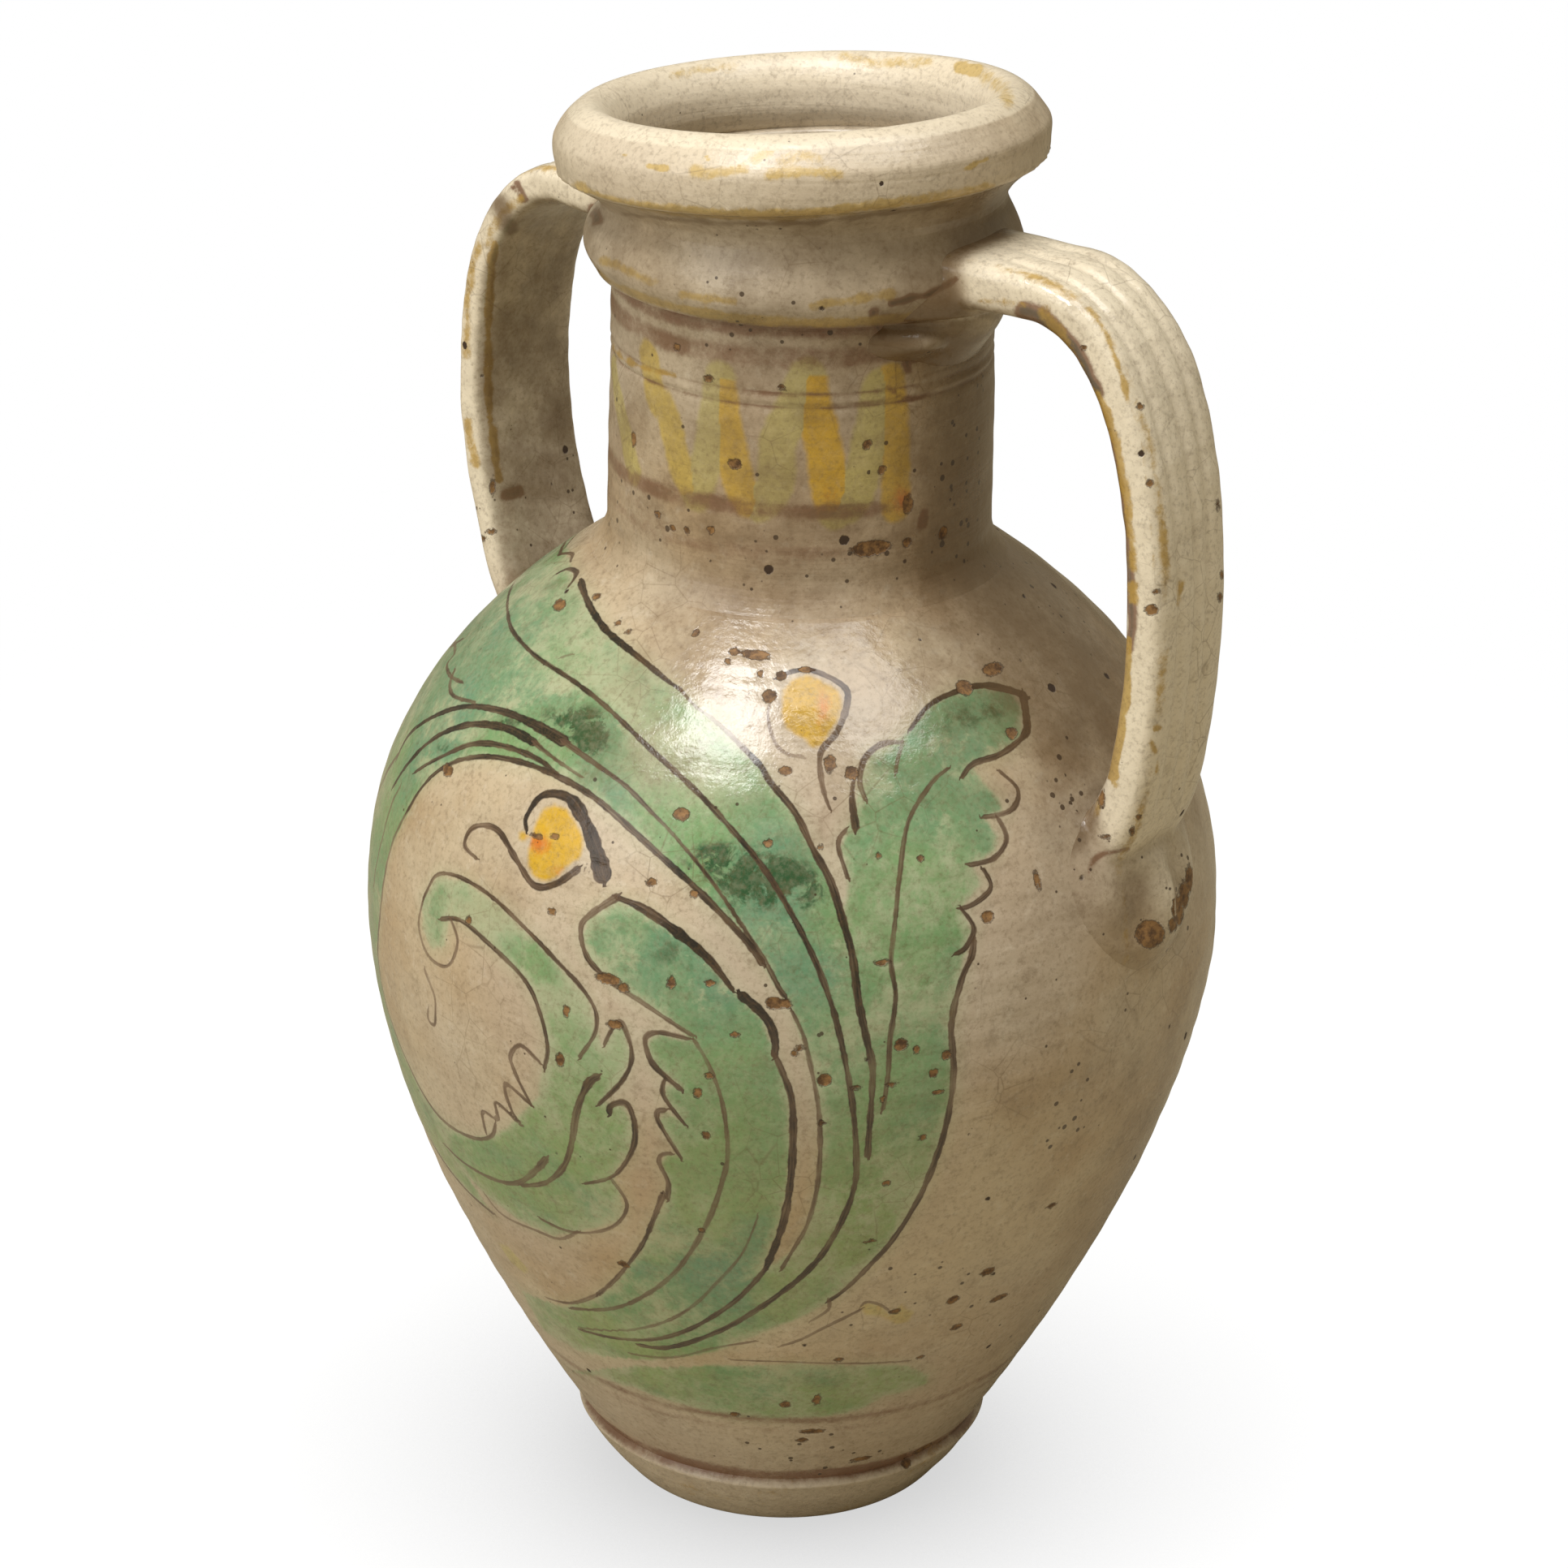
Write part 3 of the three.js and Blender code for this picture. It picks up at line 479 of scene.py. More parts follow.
# Stains on handles, collar, neck and rim, some of them painted shade: kind, width in pixels, strength
# and places. The ledge's own stains run over onto the pieces that meet it.
stains = dict(
    ledge=[
        ("brown", 12, 1.35, [(731, 258), (736, 270)]),
        ("brown", 11, 1.2, [(1076, 385), (1078, 398), (1086, 410)]),
        ("brown", 12, 0.85, [(1088, 392), (1108, 394), (1124, 398)]),
    ],
    right=[
        ("brown", 20, 1.3, [(1262, 382), (1279, 388), (1294, 399)]),
        ("brown", 13, 1.4, [(1287, 396), (1310, 413), (1329, 438), (1341, 461), (1352, 485)]),
        ("brown", 7, 1.35, [(1100, 372), (1122, 366), (1146, 360), (1165, 352), (1178, 344)]),
        ("brown", 9, 1.2, [(1345, 487), (1357, 510), (1367, 545), (1375, 580), (1382, 620), (1389, 670),
            (1393, 720), (1394, 770), (1392, 800)]),
        ("ochre", 12, 0.7, [(1352, 487), (1366, 515), (1376, 550), (1384, 590), (1391, 640),
            (1397, 700)]),
        ("ochre", 9, 0.6, [(1345, 480), (1354, 505), (1363, 530)]),
        ("ochre", 12, 1.2, [(1388, 790), (1387, 840), (1382, 880), (1377, 920), (1371, 955)]),
        ("ochre", 18, 0.6, [(1285, 385), (1305, 410), (1320, 440), (1332, 462)]),
        ("dirt", 12, 0.4, [(1285, 385), (1305, 410), (1320, 440), (1332, 462)]),
        ("dirt", 16, 0.5, [(1200, 380), (1230, 392), (1258, 398)]),
        ("ochre", 12, 0.45, [(1210, 372), (1240, 372), (1262, 376)]),
        ("ochre", 8, 0.65, [(1342, 380), (1362, 410), (1374, 440), (1384, 470), (1391, 495)]),
        ("ochre", 4, 0.5, [(1391, 495), (1400, 520), (1409, 560), (1413, 600), (1418, 650), (1422, 700)]),
        ("ochre", 12, 0.4, [(1275, 347), (1300, 357), (1330, 366)]),
        ("ochre", 14, 0.75, [(1396, 722), (1398, 738)]),
        ("ochre", 9, 0.6, [(1456, 718), (1451, 744)]),
        ("ochre", 6, 0.8, [(1424, 898), (1431, 897)]),
        ("ochre", 7, 0.8, [(1419, 915), (1423, 926)]),
        ("ochre", 6, 0.8, [(1427, 938), (1424, 952)]),
        ("ochre", 9, 0.6, [(1372, 966), (1374, 969)]),
        ("ochre", 8, 0.6, [(1352, 985), (1350, 1005)]),
        ("brown", 4, 0.9, [(1340, 1078), (1346, 1062), (1356, 1054), (1372, 1050), (1390, 1046)]),
    ],
    left=[
        ("ochre", 10, 0.85, [(610, 300), (604, 350), (602, 420), (601, 470), (605, 520), (610, 560),
            (614, 590)]),
        ("dirt", 8, 0.6, [(612, 300), (607, 350), (605, 420), (604, 470), (608, 520), (613, 560),
            (617, 590)]),
        ("ochre", 12, 0.55, [(590, 300), (578, 350), (576, 400), (574, 440)]),
        ("ochre", 12, 0.65, [(576, 520), (580, 545), (586, 572)]),
        ("dirt", 24, 0.8, [(612, 248), (622, 265), (630, 282)]),
        ("ochre", 16, 0.5, [(600, 300), (610, 275), (640, 245)]),
        ("brown", 5, 1.3, [(637, 226), (642, 235), (647, 246)]),
        ("brown", 4, 1.2, [(632, 231), (645, 247)]),
        ("brown", 13, 1.1, [(626, 610), (640, 606)]),
        # the wide mark darkens the strap's face turned to the pot: painted shade
        ("dirt", 80, 0.5, [(670, 330), (665, 450), (660, 560), (655, 640)]),
    ],
    throat=[
        ("brown", 8, 1.3, [(838, 155), (850, 154)]),
        ("brown", 9, 1.3, [(868, 152), (886, 150)]),
        # Below the ledge on the right: a dark line where it meets the neck, then painted shade along its
        # underside
        ("brown", 7, 1.35, [(1100, 374), (1122, 368), (1146, 362), (1165, 354), (1178, 346)]),
        ("brown", 5, 1.2, [(1185, 335), (1200, 327), (1225, 324), (1250, 322), (1262, 312)]),
        ("brown", 7, 1.15, [(1104, 437), (1116, 441), (1128, 442)]),
        ("brown", 7, 1.1, [(1116, 442), (1119, 456)]),
        ("brown", 10, 0.9, [(1138, 630), (1137, 646)]),
        ("brown", 5, 0.7, [(1095, 478), (1106, 486), (1120, 490), (1145, 487)]),
        ("brown", 3, 0.6, [(1028, 500), (1060, 497), (1092, 492)]),
        ("ochre", 7, 0.7, [(751, 425), (765, 440), (790, 452), (830, 462)]),
        ("dirt", 60, 0.4, [(1200, 440), (1205, 540), (1200, 640)]),
        ("dirt", 56, 0.5, [(880, 648), (960, 652), (1050, 640)]),
        ("ochre", 14, 0.6, [(742, 320), (770, 332), (805, 348)]),
        ("ochre", 13, 0.6, [(838, 362), (870, 368), (905, 372)]),
        ("ochre", 14, 0.6, [(1000, 376), (1050, 370), (1100, 362)]),
    ],
    lip=[
        ("ochre", 16, 0.62, [(856, 211), (880, 213), (918, 208)]),
        ("ochre", 17, 0.62, [(948, 214), (985, 211), (1036, 215)]),
        ("ochre", 16, 0.6, [(928, 197), (948, 187)]),
        ("ochre", 20, 0.55, [(965, 199), (985, 191), (1003, 195)]),
        ("ochre", 15, 0.72, [(712, 230), (735, 243), (770, 252), (800, 256), (850, 261), (900, 264),
            (960, 265), (1000, 263), (1050, 257), (1100, 250), (1160, 243), (1222, 231)]),
        ("dirt", 9, 0.7, [(720, 246), (770, 263), (850, 272), (900, 275), (960, 276), (1000, 274),
            (1050, 268), (1100, 262), (1160, 254), (1222, 242)]),
        ("ochre", 16, 0.45, [(828, 92), (860, 87), (905, 82)]),
        ("ochre", 18, 0.5, [(1038, 70), (1080, 77), (1145, 77)]),
        ("ochre", 14, 1.1, [(1183, 83), (1203, 87)]),
        ("ochre", 24, 0.5, [(1213, 94), (1235, 110), (1242, 124)]),
        ("ochre", 6, 1.0, [(768, 191), (771, 192)]),
        ("ochre", 7, 0.9, [(800, 205), (822, 208)]),
        ("ochre", 5, 1.0, [(871, 194), (873, 197)]),
        ("ochre", 6, 0.8, [(1190, 208), (1215, 196)]),
    ],
)
handleFlakes = [
    (1405, 501, 7, 7), (1417, 596, 7, 7), (1335, 429, 5, 4), (1419, 751, 15, 11), (1425, 729, 6, 5),
    (1501, 622, 3, 6), (1357, 982, 7, 20), (1395, 1024, 5, 7), (1362, 1031, 8, 4), (1403, 1007, 4, 4),
    (1417, 1151, 34, 32), (1466, 1082, 9, 26), (1459, 1102, 10, 28), (1451, 1122, 12, 30),
    (1445, 1140, 8, 14), (1506, 709, 4, 6), (1503, 736, 4, 7), (593, 664, 8, 5), (606, 655, 7, 5),
    (607, 600, 5, 14), (583, 627, 6, 3),
]

# The camera of the photograph: degrees, mm and pixels of its 1932 pixel frame
eye = dict(azimuth=-50.5, distance=1352.147, height=775.888, turn=39.6161, down=22.669, roll=1.099,
           focal=6426.51, frame=1932, nearest=1050, farthest=1750)
eyeTurn = (Matrix.Rotation(math.radians(eye["turn"]), 3, "Z")
           @ Matrix.Rotation(math.radians(90 - eye["down"]), 3, "X")
           @ Matrix.Rotation(math.radians(eye["roll"]), 3, "Z"))
eyeAxes = np.array(eyeTurn)
eyePlace = np.array([*eye["distance"] * wayAt(eye["azimuth"]), eye["height"]])
sightStep = 0.5       # mm between the depths that a line of sight is tried at
halfPixel = 0.11      # mm that half a pixel of the photograph spans on the pot
farAway = 9.0         # mm: a distance for what no stroke or wash is near
flakeReach = 5.0      # mm round a flake that its distance is kept for
washReach = 8.0       # and round a wash


def seen(pixels):
    # where the lines of sight through pixels of the photograph meet the pot, and mm to a pixel there
    p = (np.array(pixels, float) - eye["frame"] / 2) / eye["focal"]
    ways = np.column_stack([p[:, 0], -p[:, 1], -np.ones(len(p))]) @ eyeAxes.T
    depths = np.arange(eye["nearest"], eye["farthest"], sightStep)
    spots = eyePlace + depths[:, None, None] * ways
    over = np.hypot(spots[..., 0], spots[..., 1]) - potRadius(spots[..., 2])
    first = np.where((over < 0).any(0), (over < 0).argmax(0), over.argmin(0))
    column = np.arange(len(p))
    before, after = over[np.maximum(first - 1, 0), column], over[first, column]
    depth = depths[first] - sightStep * np.where(after < 0, after / (after - before), 0)
    return eyePlace + depth[:, None] * ways, depth / eye["focal"]


def inPicture(co):
    # where points appear in the photograph, in pixels
    seenFrom = (co - eyePlace) @ eyeAxes
    flat = seenFrom[:, :2] * (1, -1) / -seenFrom[:, 2:]
    return flat * eye["focal"] + eye["frame"] / 2


def onPot(spots):
    # listed spots on the belly as points in space, on the thrown line
    spots = np.asarray(spots, float)
    turn = spots[:, 0] / pot["bellyRadius"] - math.pi / 2
    radius = potRadius(spots[:, 1])
    return np.column_stack([radius * np.cos(turn), radius * np.sin(turn), spots[:, 1]])


def spotsOf(co):
    turn = (np.arctan2(co[:, 1], co[:, 0]) + math.pi / 2 + math.pi) % (2 * math.pi) - math.pi
    return np.column_stack([turn * pot["bellyRadius"], co[:, 2]])


def nearest(co, line):
    # for each point: distance to a line in space, the span it is nearest, and how far along that is
    a, b = line[:-1], line[1:]
    run = b - a
    length2 = np.maximum((run ** 2).sum(1), 1e-9)
    t = np.clip(((co[:, None] - a) * run).sum(2) / length2, 0, 1)
    gap = np.linalg.norm(co[:, None] - (a + t[..., None] * run), axis=2)
    span = gap.argmin(1)
    rows = np.arange(len(co))
    return gap[rows, span], span, t[rows, span]


def closeTo(co, line, reach):
    return np.flatnonzero(np.all((co > line.min(0) - reach) & (co < line.max(0) + reach), axis=1))


def shares(count):
    return np.linspace(0, 1, count)


def strokeLine(stroke):
    widths, dark, pixels = stroke
    spots, scale = seen(pixels)
    half = np.interp(shares(len(spots)), [0, 0.5, 1], widths) * scale / 2
    line = smoothLine(np.column_stack([spots, half]), strokeSteps)
    return line[:, :3], line[:, 3], dark


def hiddenLine(stroke):
    widths, dark, spots = stroke
    line = smoothLine(spots, strokeSteps)
    half = np.interp(shares(len(line)), [0, 0.5, 1], widths) * halfPixel
    return onPot(line), half, dark


strokeSteps = 6       # points to a span of a stroke
strokeChunk = 24      # spans of a stroke that are measured at once
layerCount = 4        # layers of ink, so that strokes that cross don't share an edge
layerGap = 5          # mm between strokes of one layer


def sortLayers(lines):
    # strokes that touch go on different layers, so that each keeps its own edge
    layers = [[] for _ in range(layerCount)]
    for line in lines:
        rooms = []
        for layer in layers:
            gaps = [nearest(line[0][::3], other[0])[0].min() for other in layer]
            rooms.append(min(gaps, default=math.inf))
        free = [number for number, room in enumerate(rooms) if room > layerGap]
        layers[free[0] if free else int(np.argmax(rooms))].append(line)
    return layers


brushShift = 7.3      # sets each stroke's hairs apart from the others'


def runsAlong(line):
    return np.concatenate([[0], np.linalg.norm(np.diff(line, axis=0), axis=1).cumsum()])


def paintInk(mesh, co, outward, layers):
    for number, layer in enumerate(layers):
        ink = np.tile([farAway, farAway, 0.3], (len(co), 1))
        brush = np.zeros((len(co), 3))
        best = np.full(len(co), farAway)
        for index, (whole, halves, dark) in enumerate(layer):
            runs = runsAlong(whole)
            for first in range(0, len(whole) - 1, strokeChunk):
                some = slice(first, first + strokeChunk + 1)
                line, half, start = whole[some], halves[some], runs[some]
                rows = closeTo(co, line, half.max() + layerGap)
                if not len(rows):
                    continue
                gap, span, t = nearest(co[rows], line)
                width = half[span] + (half[span + 1] - half[span]) * t
                nearer = gap - width < best[rows]
                rows, gap, span, t, width = (values[nearer] for values in (rows, gap, span, t, width))
                ahead = line[span + 1] - line[span]
                run = start[span] + (start[span + 1] - start[span]) * t
                side = np.sign((np.cross(outward[rows], ahead) * (co[rows] - line[span])).sum(1))
                best[rows] = gap - width
                ink[rows] = np.column_stack([side * gap, gap, width])
                brush[rows, 0], brush[rows, 1], brush[rows, 2] = dark, run, index * brushShift
        setValues(mesh, f"ink{number}", ink)
        setValues(mesh, f"brush{number}", brush)


def insideOf(spots, outline):
    x, y = spots.T
    within = np.zeros(len(spots), bool)
    for (x0, y0), (x1, y1) in zip(outline, np.roll(outline, -1, axis=0)):
        crosses = (y0 > y) != (y1 > y)
        within ^= crosses & (x < (x1 - x0) * (y - y0) / (y1 - y0 or 1e-9) + x0)
    return within


def fillField(co, outline):
    # signed distance in mm to a closed outline, negative inside
    gap = np.full(len(co), washReach)
    closed = np.vstack([outline, outline[:1]])
    for first in range(0, len(closed) - 1, strokeChunk):
        line = closed[first:first + strokeChunk + 1]
        near = closeTo(co, line, washReach)
        if len(near):
            gap[near] = np.minimum(gap[near], nearest(co[near], line)[0])
    return np.where(insideOf(spotsOf(co), spotsOf(outline)), -gap, gap)


def washField(co):
    outlines = [seen(pixels)[0] for pixels in washes.values()]
    outlines += [onPot(spots) for spots in hiddenWashes.values()]
    return np.min([fillField(co, outline) for outline in outlines], axis=0)


def facing(co, outward):
    # how far a surface looks towards the photograph's camera
    toEye = eyePlace - co
    return smoothStep((toEye * outward).sum(1) / np.linalg.norm(toEye, axis=1), 0.02, 0.2)


def blotField(co, blots):
    # soft oval patches at their places in the photograph, added up
    x, y = inPicture(co).T
    total = np.zeros(len(co))
    for middleX, middleY, halfWidth, halfHeight, strength in blots:
        total += strength * np.exp(-((x - middleX) / halfWidth) ** 2 - ((y - middleY) / halfHeight) ** 2)
    return total


# How stains fray, in pixels, over how many mm, and how soft their edges are for their width
fray = dict(depth=2, size=7, softness=2.5, softShare=0.3)
loneSpecks = 0.04     # how crowded the dark specks are where nothing gathers them


def addStains(co, outward, tint, group):
    # stains and brush marks laid on whatever shows at their places in the photograph
    picture = inPicture(co)
    shown = facing(co, outward)
    for kind, width, strength, line in stains[group]:
        line = smoothLine(line, 4)
        rows = closeTo(picture, line, width)
        if len(rows):
            gap = nearest(picture[rows], line)[0] + fray["depth"] * waves(co[rows], fray["size"], 71)
            soft = fray["softness"] + fray["softShare"] * width
            cover = strength * (1 - smoothStep(gap, width / 2 - soft, width / 2 + soft)) * shown[rows]
            column = ("brown", "ochre", "dirt").index(kind)
            tint[rows, column] = np.maximum(tint[rows, column], cover)


def speckField(co, outward):
    return loneSpecks + blotField(co, speckled) * facing(co, outward)


def handleChips(co, outward):
    x, y = inPicture(co).T
    edge = np.full(len(co), flakeReach)
    for middleX, middleY, wide, high in handleFlakes:
        far = np.hypot((x - middleX) * 2 / wide, (y - middleY) * 2 / high)
        edge = np.minimum(edge, (far - 1) * min(wide, high) * halfPixel)
    return np.where(facing(co, outward) > 0.5, edge, flakeReach)


def yellowField(co):
    # distance to the edge of the yellow, how strong it is and how far it turns to orange
    yellow = np.tile([washReach, 0, 0], (len(co), 1))

    def lay(rows, edge, strong, hot):
        nearer = edge < yellow[rows, 0]
        rows = rows[nearer]
        yellow[rows, 0], yellow[rows, 1], yellow[rows, 2] = edge[nearer], strong, hot

    for strong, hot, pixels in buds.values():
        lay(np.arange(len(co)), fillField(co, seen(pixels)[0]), strong, hot)
    for width, strong, hot, pixels in zigzags.values():
        spots, scale = seen(pixels)
        line = smoothLine(spots, 5)
        rows = closeTo(co, line, 12)
        if len(rows):
            lay(rows, nearest(co[rows], line)[0] - width * scale[0] / 2, strong, hot)
    yellow[:, 2] += blotField(co, orangeSpots)
    return yellow


def chipField(co):
    # rough signed distance to the edge of the nearest flake, negative inside
    edge = np.full(len(co), flakeReach)
    spots, scale = seen([flake[:2] for flake in flakes])
    outward = outwardOf(spots)
    sideways = np.cross((0, 0, 1), outward)
    sideways /= np.linalg.norm(sideways, axis=1)[:, None]
    upward = np.cross(outward, sideways)
    right, up = eyeAxes[:, 0], eyeAxes[:, 1]
    for row, (x, y, wide, high) in enumerate(flakes):
        # a flake seen at a slant is longer than it looks, up to two and a half times
        halfWide = wide * scale[row] / 2 / max(abs(sideways[row] @ right), 0.4)
        halfHigh = high * scale[row] / 2 / max(abs(upward[row] @ up), 0.4)
        close = closeTo(co, spots[row][None], max(halfWide, halfHigh) + flakeReach)
        if len(close):
            off = co[close] - spots[row]
            far = np.hypot(off @ sideways[row] / halfWide, off @ upward[row] / halfHigh)
            edge[close] = np.minimum(edge[close], (far - 1) * min(halfWide, halfHigh))
    return edge


# Materials

def srgb(red, green, blue):
    parts = np.array([red, green, blue]) / 255
    linear = np.where(parts > 0.04045, ((parts + 0.055) / 1.055) ** 2.4, parts / 12.92)
    return (*linear.tolist(), 1.0)


class Look:
    # a material being made, with short ways to add its nodes; sizes are in mm
    def __init__(self, name):
        self.material = bpy.data.materials.new(name)
        self.material.use_nodes = True
        self.tree = self.material.node_tree
        self.tree.nodes.clear()
        self.place = self.node("ShaderNodeTexCoord").outputs["Object"]

    def node(self, kind, values=(), **settings):
        node = self.tree.nodes.new(kind)
        for name, value in settings.items():
            setattr(node, name, value)
        for key, value in dict(values).items():
            if isinstance(value, bpy.types.NodeSocket):
                self.tree.links.new(value, node.inputs[key])
            else:
                node.inputs[key].default_value = value
        return node

    def calc(self, operation, *values):
        return self.node("ShaderNodeMath", dict(enumerate(values)), operation=operation).outputs[0]

    def fade(self, value, start, end, low=0.0, high=1.0):
        span = {0: value, 1: start, 2: end, 3: low, 4: high}
        return self.node("ShaderNodeMapRange", span, interpolation_type="SMOOTHSTEP").outputs[0]

    def times(self, *values):
        total = values[0]
        for value in values[1:]:
            total = self.calc("MULTIPLY", total, value)
        return total

    def plus(self, *values):
        total = values[0]
        for value in values[1:]:
            total = self.calc("ADD", total, value)
        return total

    def scaled(self, value, factor, offset):
        return self.calc("MULTIPLY_ADD", value, factor, offset)

    def blend(self, share, first, second):
        first, second = (tones[tone] if isinstance(tone, str) else tone for tone in (first, second))
        return self.node("ShaderNodeMix", {0: share, 6: first, 7: second}, data_type="RGBA").outputs[2]

    def noise(self, size, detail=2.0, rough=0.5, seed=0.0, place=None, warp=0.0):
        values = {"Vector": place or self.place, "W": seed, "Scale": (1 if place else 1 / mm) / size,
                  "Detail": detail, "Roughness": rough, "Distortion": warp}
        return self.node("ShaderNodeTexNoise", values, noise_dimensions="4D").outputs[0]

    def noiseFade(self, size, detail, rough, seed, start, end, low=0.0, high=1.0, warp=0.0):
        return self.fade(self.noise(size, detail, rough, seed, warp=warp), start, end, low, high)

    def cells(self, size, feature="F1", seed=0.0):
        values = {"Vector": self.place, "W": seed, "Scale": 1 / mm / size}
        return self.node("ShaderNodeTexVoronoi", values, voronoi_dimensions="4D", feature=feature).outputs

    def chance(self, cell):
        return self.node("ShaderNodeSeparateColor", {0: cell["Color"]}).outputs[0]

    def parts(self, name):
        vector = self.node("ShaderNodeAttribute", attribute_name=name).outputs["Vector"]
        return self.node("ShaderNodeSeparateXYZ", {0: vector}).outputs

    def value(self, name):
        return self.node("ShaderNodeAttribute", attribute_name=name).outputs["Fac"]

    def join(self, x, y, z):
        return self.node("ShaderNodeCombineXYZ", {0: x, 1: y, 2: z}).outputs[0]


tones = dict(
    cream=(206, 189, 160), warm=(188, 163, 128), cool=(200, 187, 170), grey=(162, 143, 120),
    pale=(226, 216, 197), palest=(239, 227, 203), greenThin=(166, 184, 144), green=(112, 156, 104),
    greenBlue=(98, 147, 116), greenDeep=(16, 78, 40), greenYellow=(146, 168, 104), inkThin=(108, 84, 66),
    inkDark=(22, 17, 18), yellow=(216, 172, 44), yellowPale=(196, 188, 84), orange=(216, 122, 36),
    brown=(124, 86, 64), ochre=(188, 152, 70), clay=(150, 112, 66), clayDark=(80, 54, 30),
    bareClay=(198, 168, 98), pit=(58, 40, 26), dirt=(104, 80, 51),
)
tones = {name: srgb(*levels) for name, levels in tones.items()}


# The painted colours: sizes of their noise in mm, how far their edges stray and fade, in mm
greenWash = dict(wobble=5, stray=2.6, clouds=30, streaks=7, blue=45, leafy=34, grain=1.6, bleedFrom=6.0)
yellowWash = dict(wobble=3, stray=1.8, streaks=4)
inkBrush = dict(thick=6, stray=0.4, roughness=1.4, ends=0.9, hairs=9.0, across=1.6, load=14)


def addGreen(look, color):
    # the wash's second part thickens the green in pools and thins it under a painted highlight
    edge, poolAndHighlight, low = look.parts("wash")
    wobble = look.noise(greenWash["wobble"], 3, 0.6, 1.0)
    strayed = look.plus(edge, look.scaled(wobble, greenWash["stray"], -greenWash["stray"] / 2))
    cover = look.fade(strayed, 0.9, -1.1)
    clouds = look.noise(greenWash["clouds"], 3, 0.5, 2.0, warp=0.5)
    streaks = look.noise(greenWash["streaks"], 5, 0.7, 3.0, warp=0.5)
    body = look.plus(look.scaled(clouds, 1.5, -0.35), look.scaled(streaks, 1.2, -0.6),
                     look.fade(edge, 0.5, -4.0, -0.25, 0.05))
    body = look.calc("MULTIPLY_ADD", poolAndHighlight, look.fade(streaks, 0.36, 0.62, 0.35, 1.45), body)
    blue = look.noiseFade(greenWash["blue"], 2, 0.5, 4.0, 0.4, 0.62, 0.0, 0.9)
    leafy = look.noiseFade(greenWash["leafy"], 3, 0.6, 4.2, 0.35, 0.6)
    leafy = look.times(leafy, look.scaled(low, 0.6, 0.25))
    hue = look.blend(leafy, look.blend(blue, "green", "greenBlue"), "greenYellow")
    green = look.blend(look.fade(body, 0.05, 0.6), "greenThin", hue)
    green = look.blend(look.fade(body, 0.7, 1.7), green, "greenDeep")
    grain = look.noiseFade(greenWash["grain"], 3, 0.6, 4.5, 0.35, 0.7, 1.0, 0.8)
    strength = look.times(cover, look.fade(body, -0.1, 0.5, 0.6, 0.96), grain)
    bleed = look.times(look.fade(edge, greenWash["bleedFrom"], -0.5), 0.2)
    return look.blend(strength, look.blend(bleed, color, "greenThin"), green)


def addYellow(look, color):
    edge, strong, hot = look.parts("yellow")
    wobble = look.noise(yellowWash["wobble"], 2, 0.5, 5.0)
    strayed = look.plus(edge, look.scaled(wobble, yellowWash["stray"], -yellowWash["stray"] / 2))
    cover = look.fade(strayed, 0.9, -1.0)
    streaks = look.noise(yellowWash["streaks"], 4, 0.7, 6.0, warp=1.0)
    heat = look.plus(hot, look.scaled(streaks, 1.2, -0.6))
    tone = look.blend(look.fade(strong, 0.5, 0.95), "yellowPale", "yellow")
    tone = look.blend(look.fade(heat, 0.2, 1.0), tone, "orange")
    return look.blend(look.times(cover, strong, look.fade(streaks, 0.2, 0.6, 0.7, 1.0)), color, tone)


def addInk(look, color, number):
    side, far, half = look.parts(f"ink{number}")
    dark, run, seed = look.parts(f"brush{number}")
    thick = look.noise(inkBrush["thick"], 2, 0.6, place=look.join(run, seed, 0.0))
    half = look.calc("MULTIPLY_ADD", half, look.fade(thick, 0.25, 0.75, 0.8, 1.4), 0.06)
    far = look.calc("MAXIMUM", look.calc("ABSOLUTE", side), look.calc("SUBTRACT", far, inkBrush["ends"]))
    rough = look.noise(inkBrush["roughness"], 2, 0.6, 7.0 + number)
    rough = look.scaled(rough, inkBrush["stray"], -inkBrush["stray"] / 2)
    cover = look.fade(look.plus(look.calc("SUBTRACT", far, half), rough), 0.2, -0.22)
    along = look.calc("DIVIDE", run, inkBrush["hairs"])
    hairs = look.noise(1.0, 3, 0.6, place=look.join(along, look.times(side, inkBrush["across"]), seed))
    uneven = look.noise(inkBrush["load"], 2, 0.5, 9.0)
    load = look.plus(dark, look.scaled(hairs, 1.0, -0.5), look.scaled(uneven, 1.0, -0.5))
    tone = look.blend(look.fade(load, 0.45, 1.15), "inkThin", "inkDark")
    return look.blend(look.times(cover, look.fade(load, 0.0, 0.9, 0.45, 0.97)), color, tone)


# The bare glaze: sizes of its noise and cells in mm, then how smooth, glossy and uneven it is
glaze = dict(
    clouds=55, drift=120, mottle=9, fresh=3.5, worn=3, grimeAndShade=16, grain=1.3, smudge=7, crackle=11, crackled=40,
    pits=7, pitEdge=1.3, specks=2.4, crowds=14, flakeEdge=1.6, clay=2.5, sheen=24, smooth=0.11, dull=0.28,
    ior=1.62, dimples=4.5, fine=1.2, rings=2.2, bumpStrength=0.6, bumpHeight=0.0006,
)


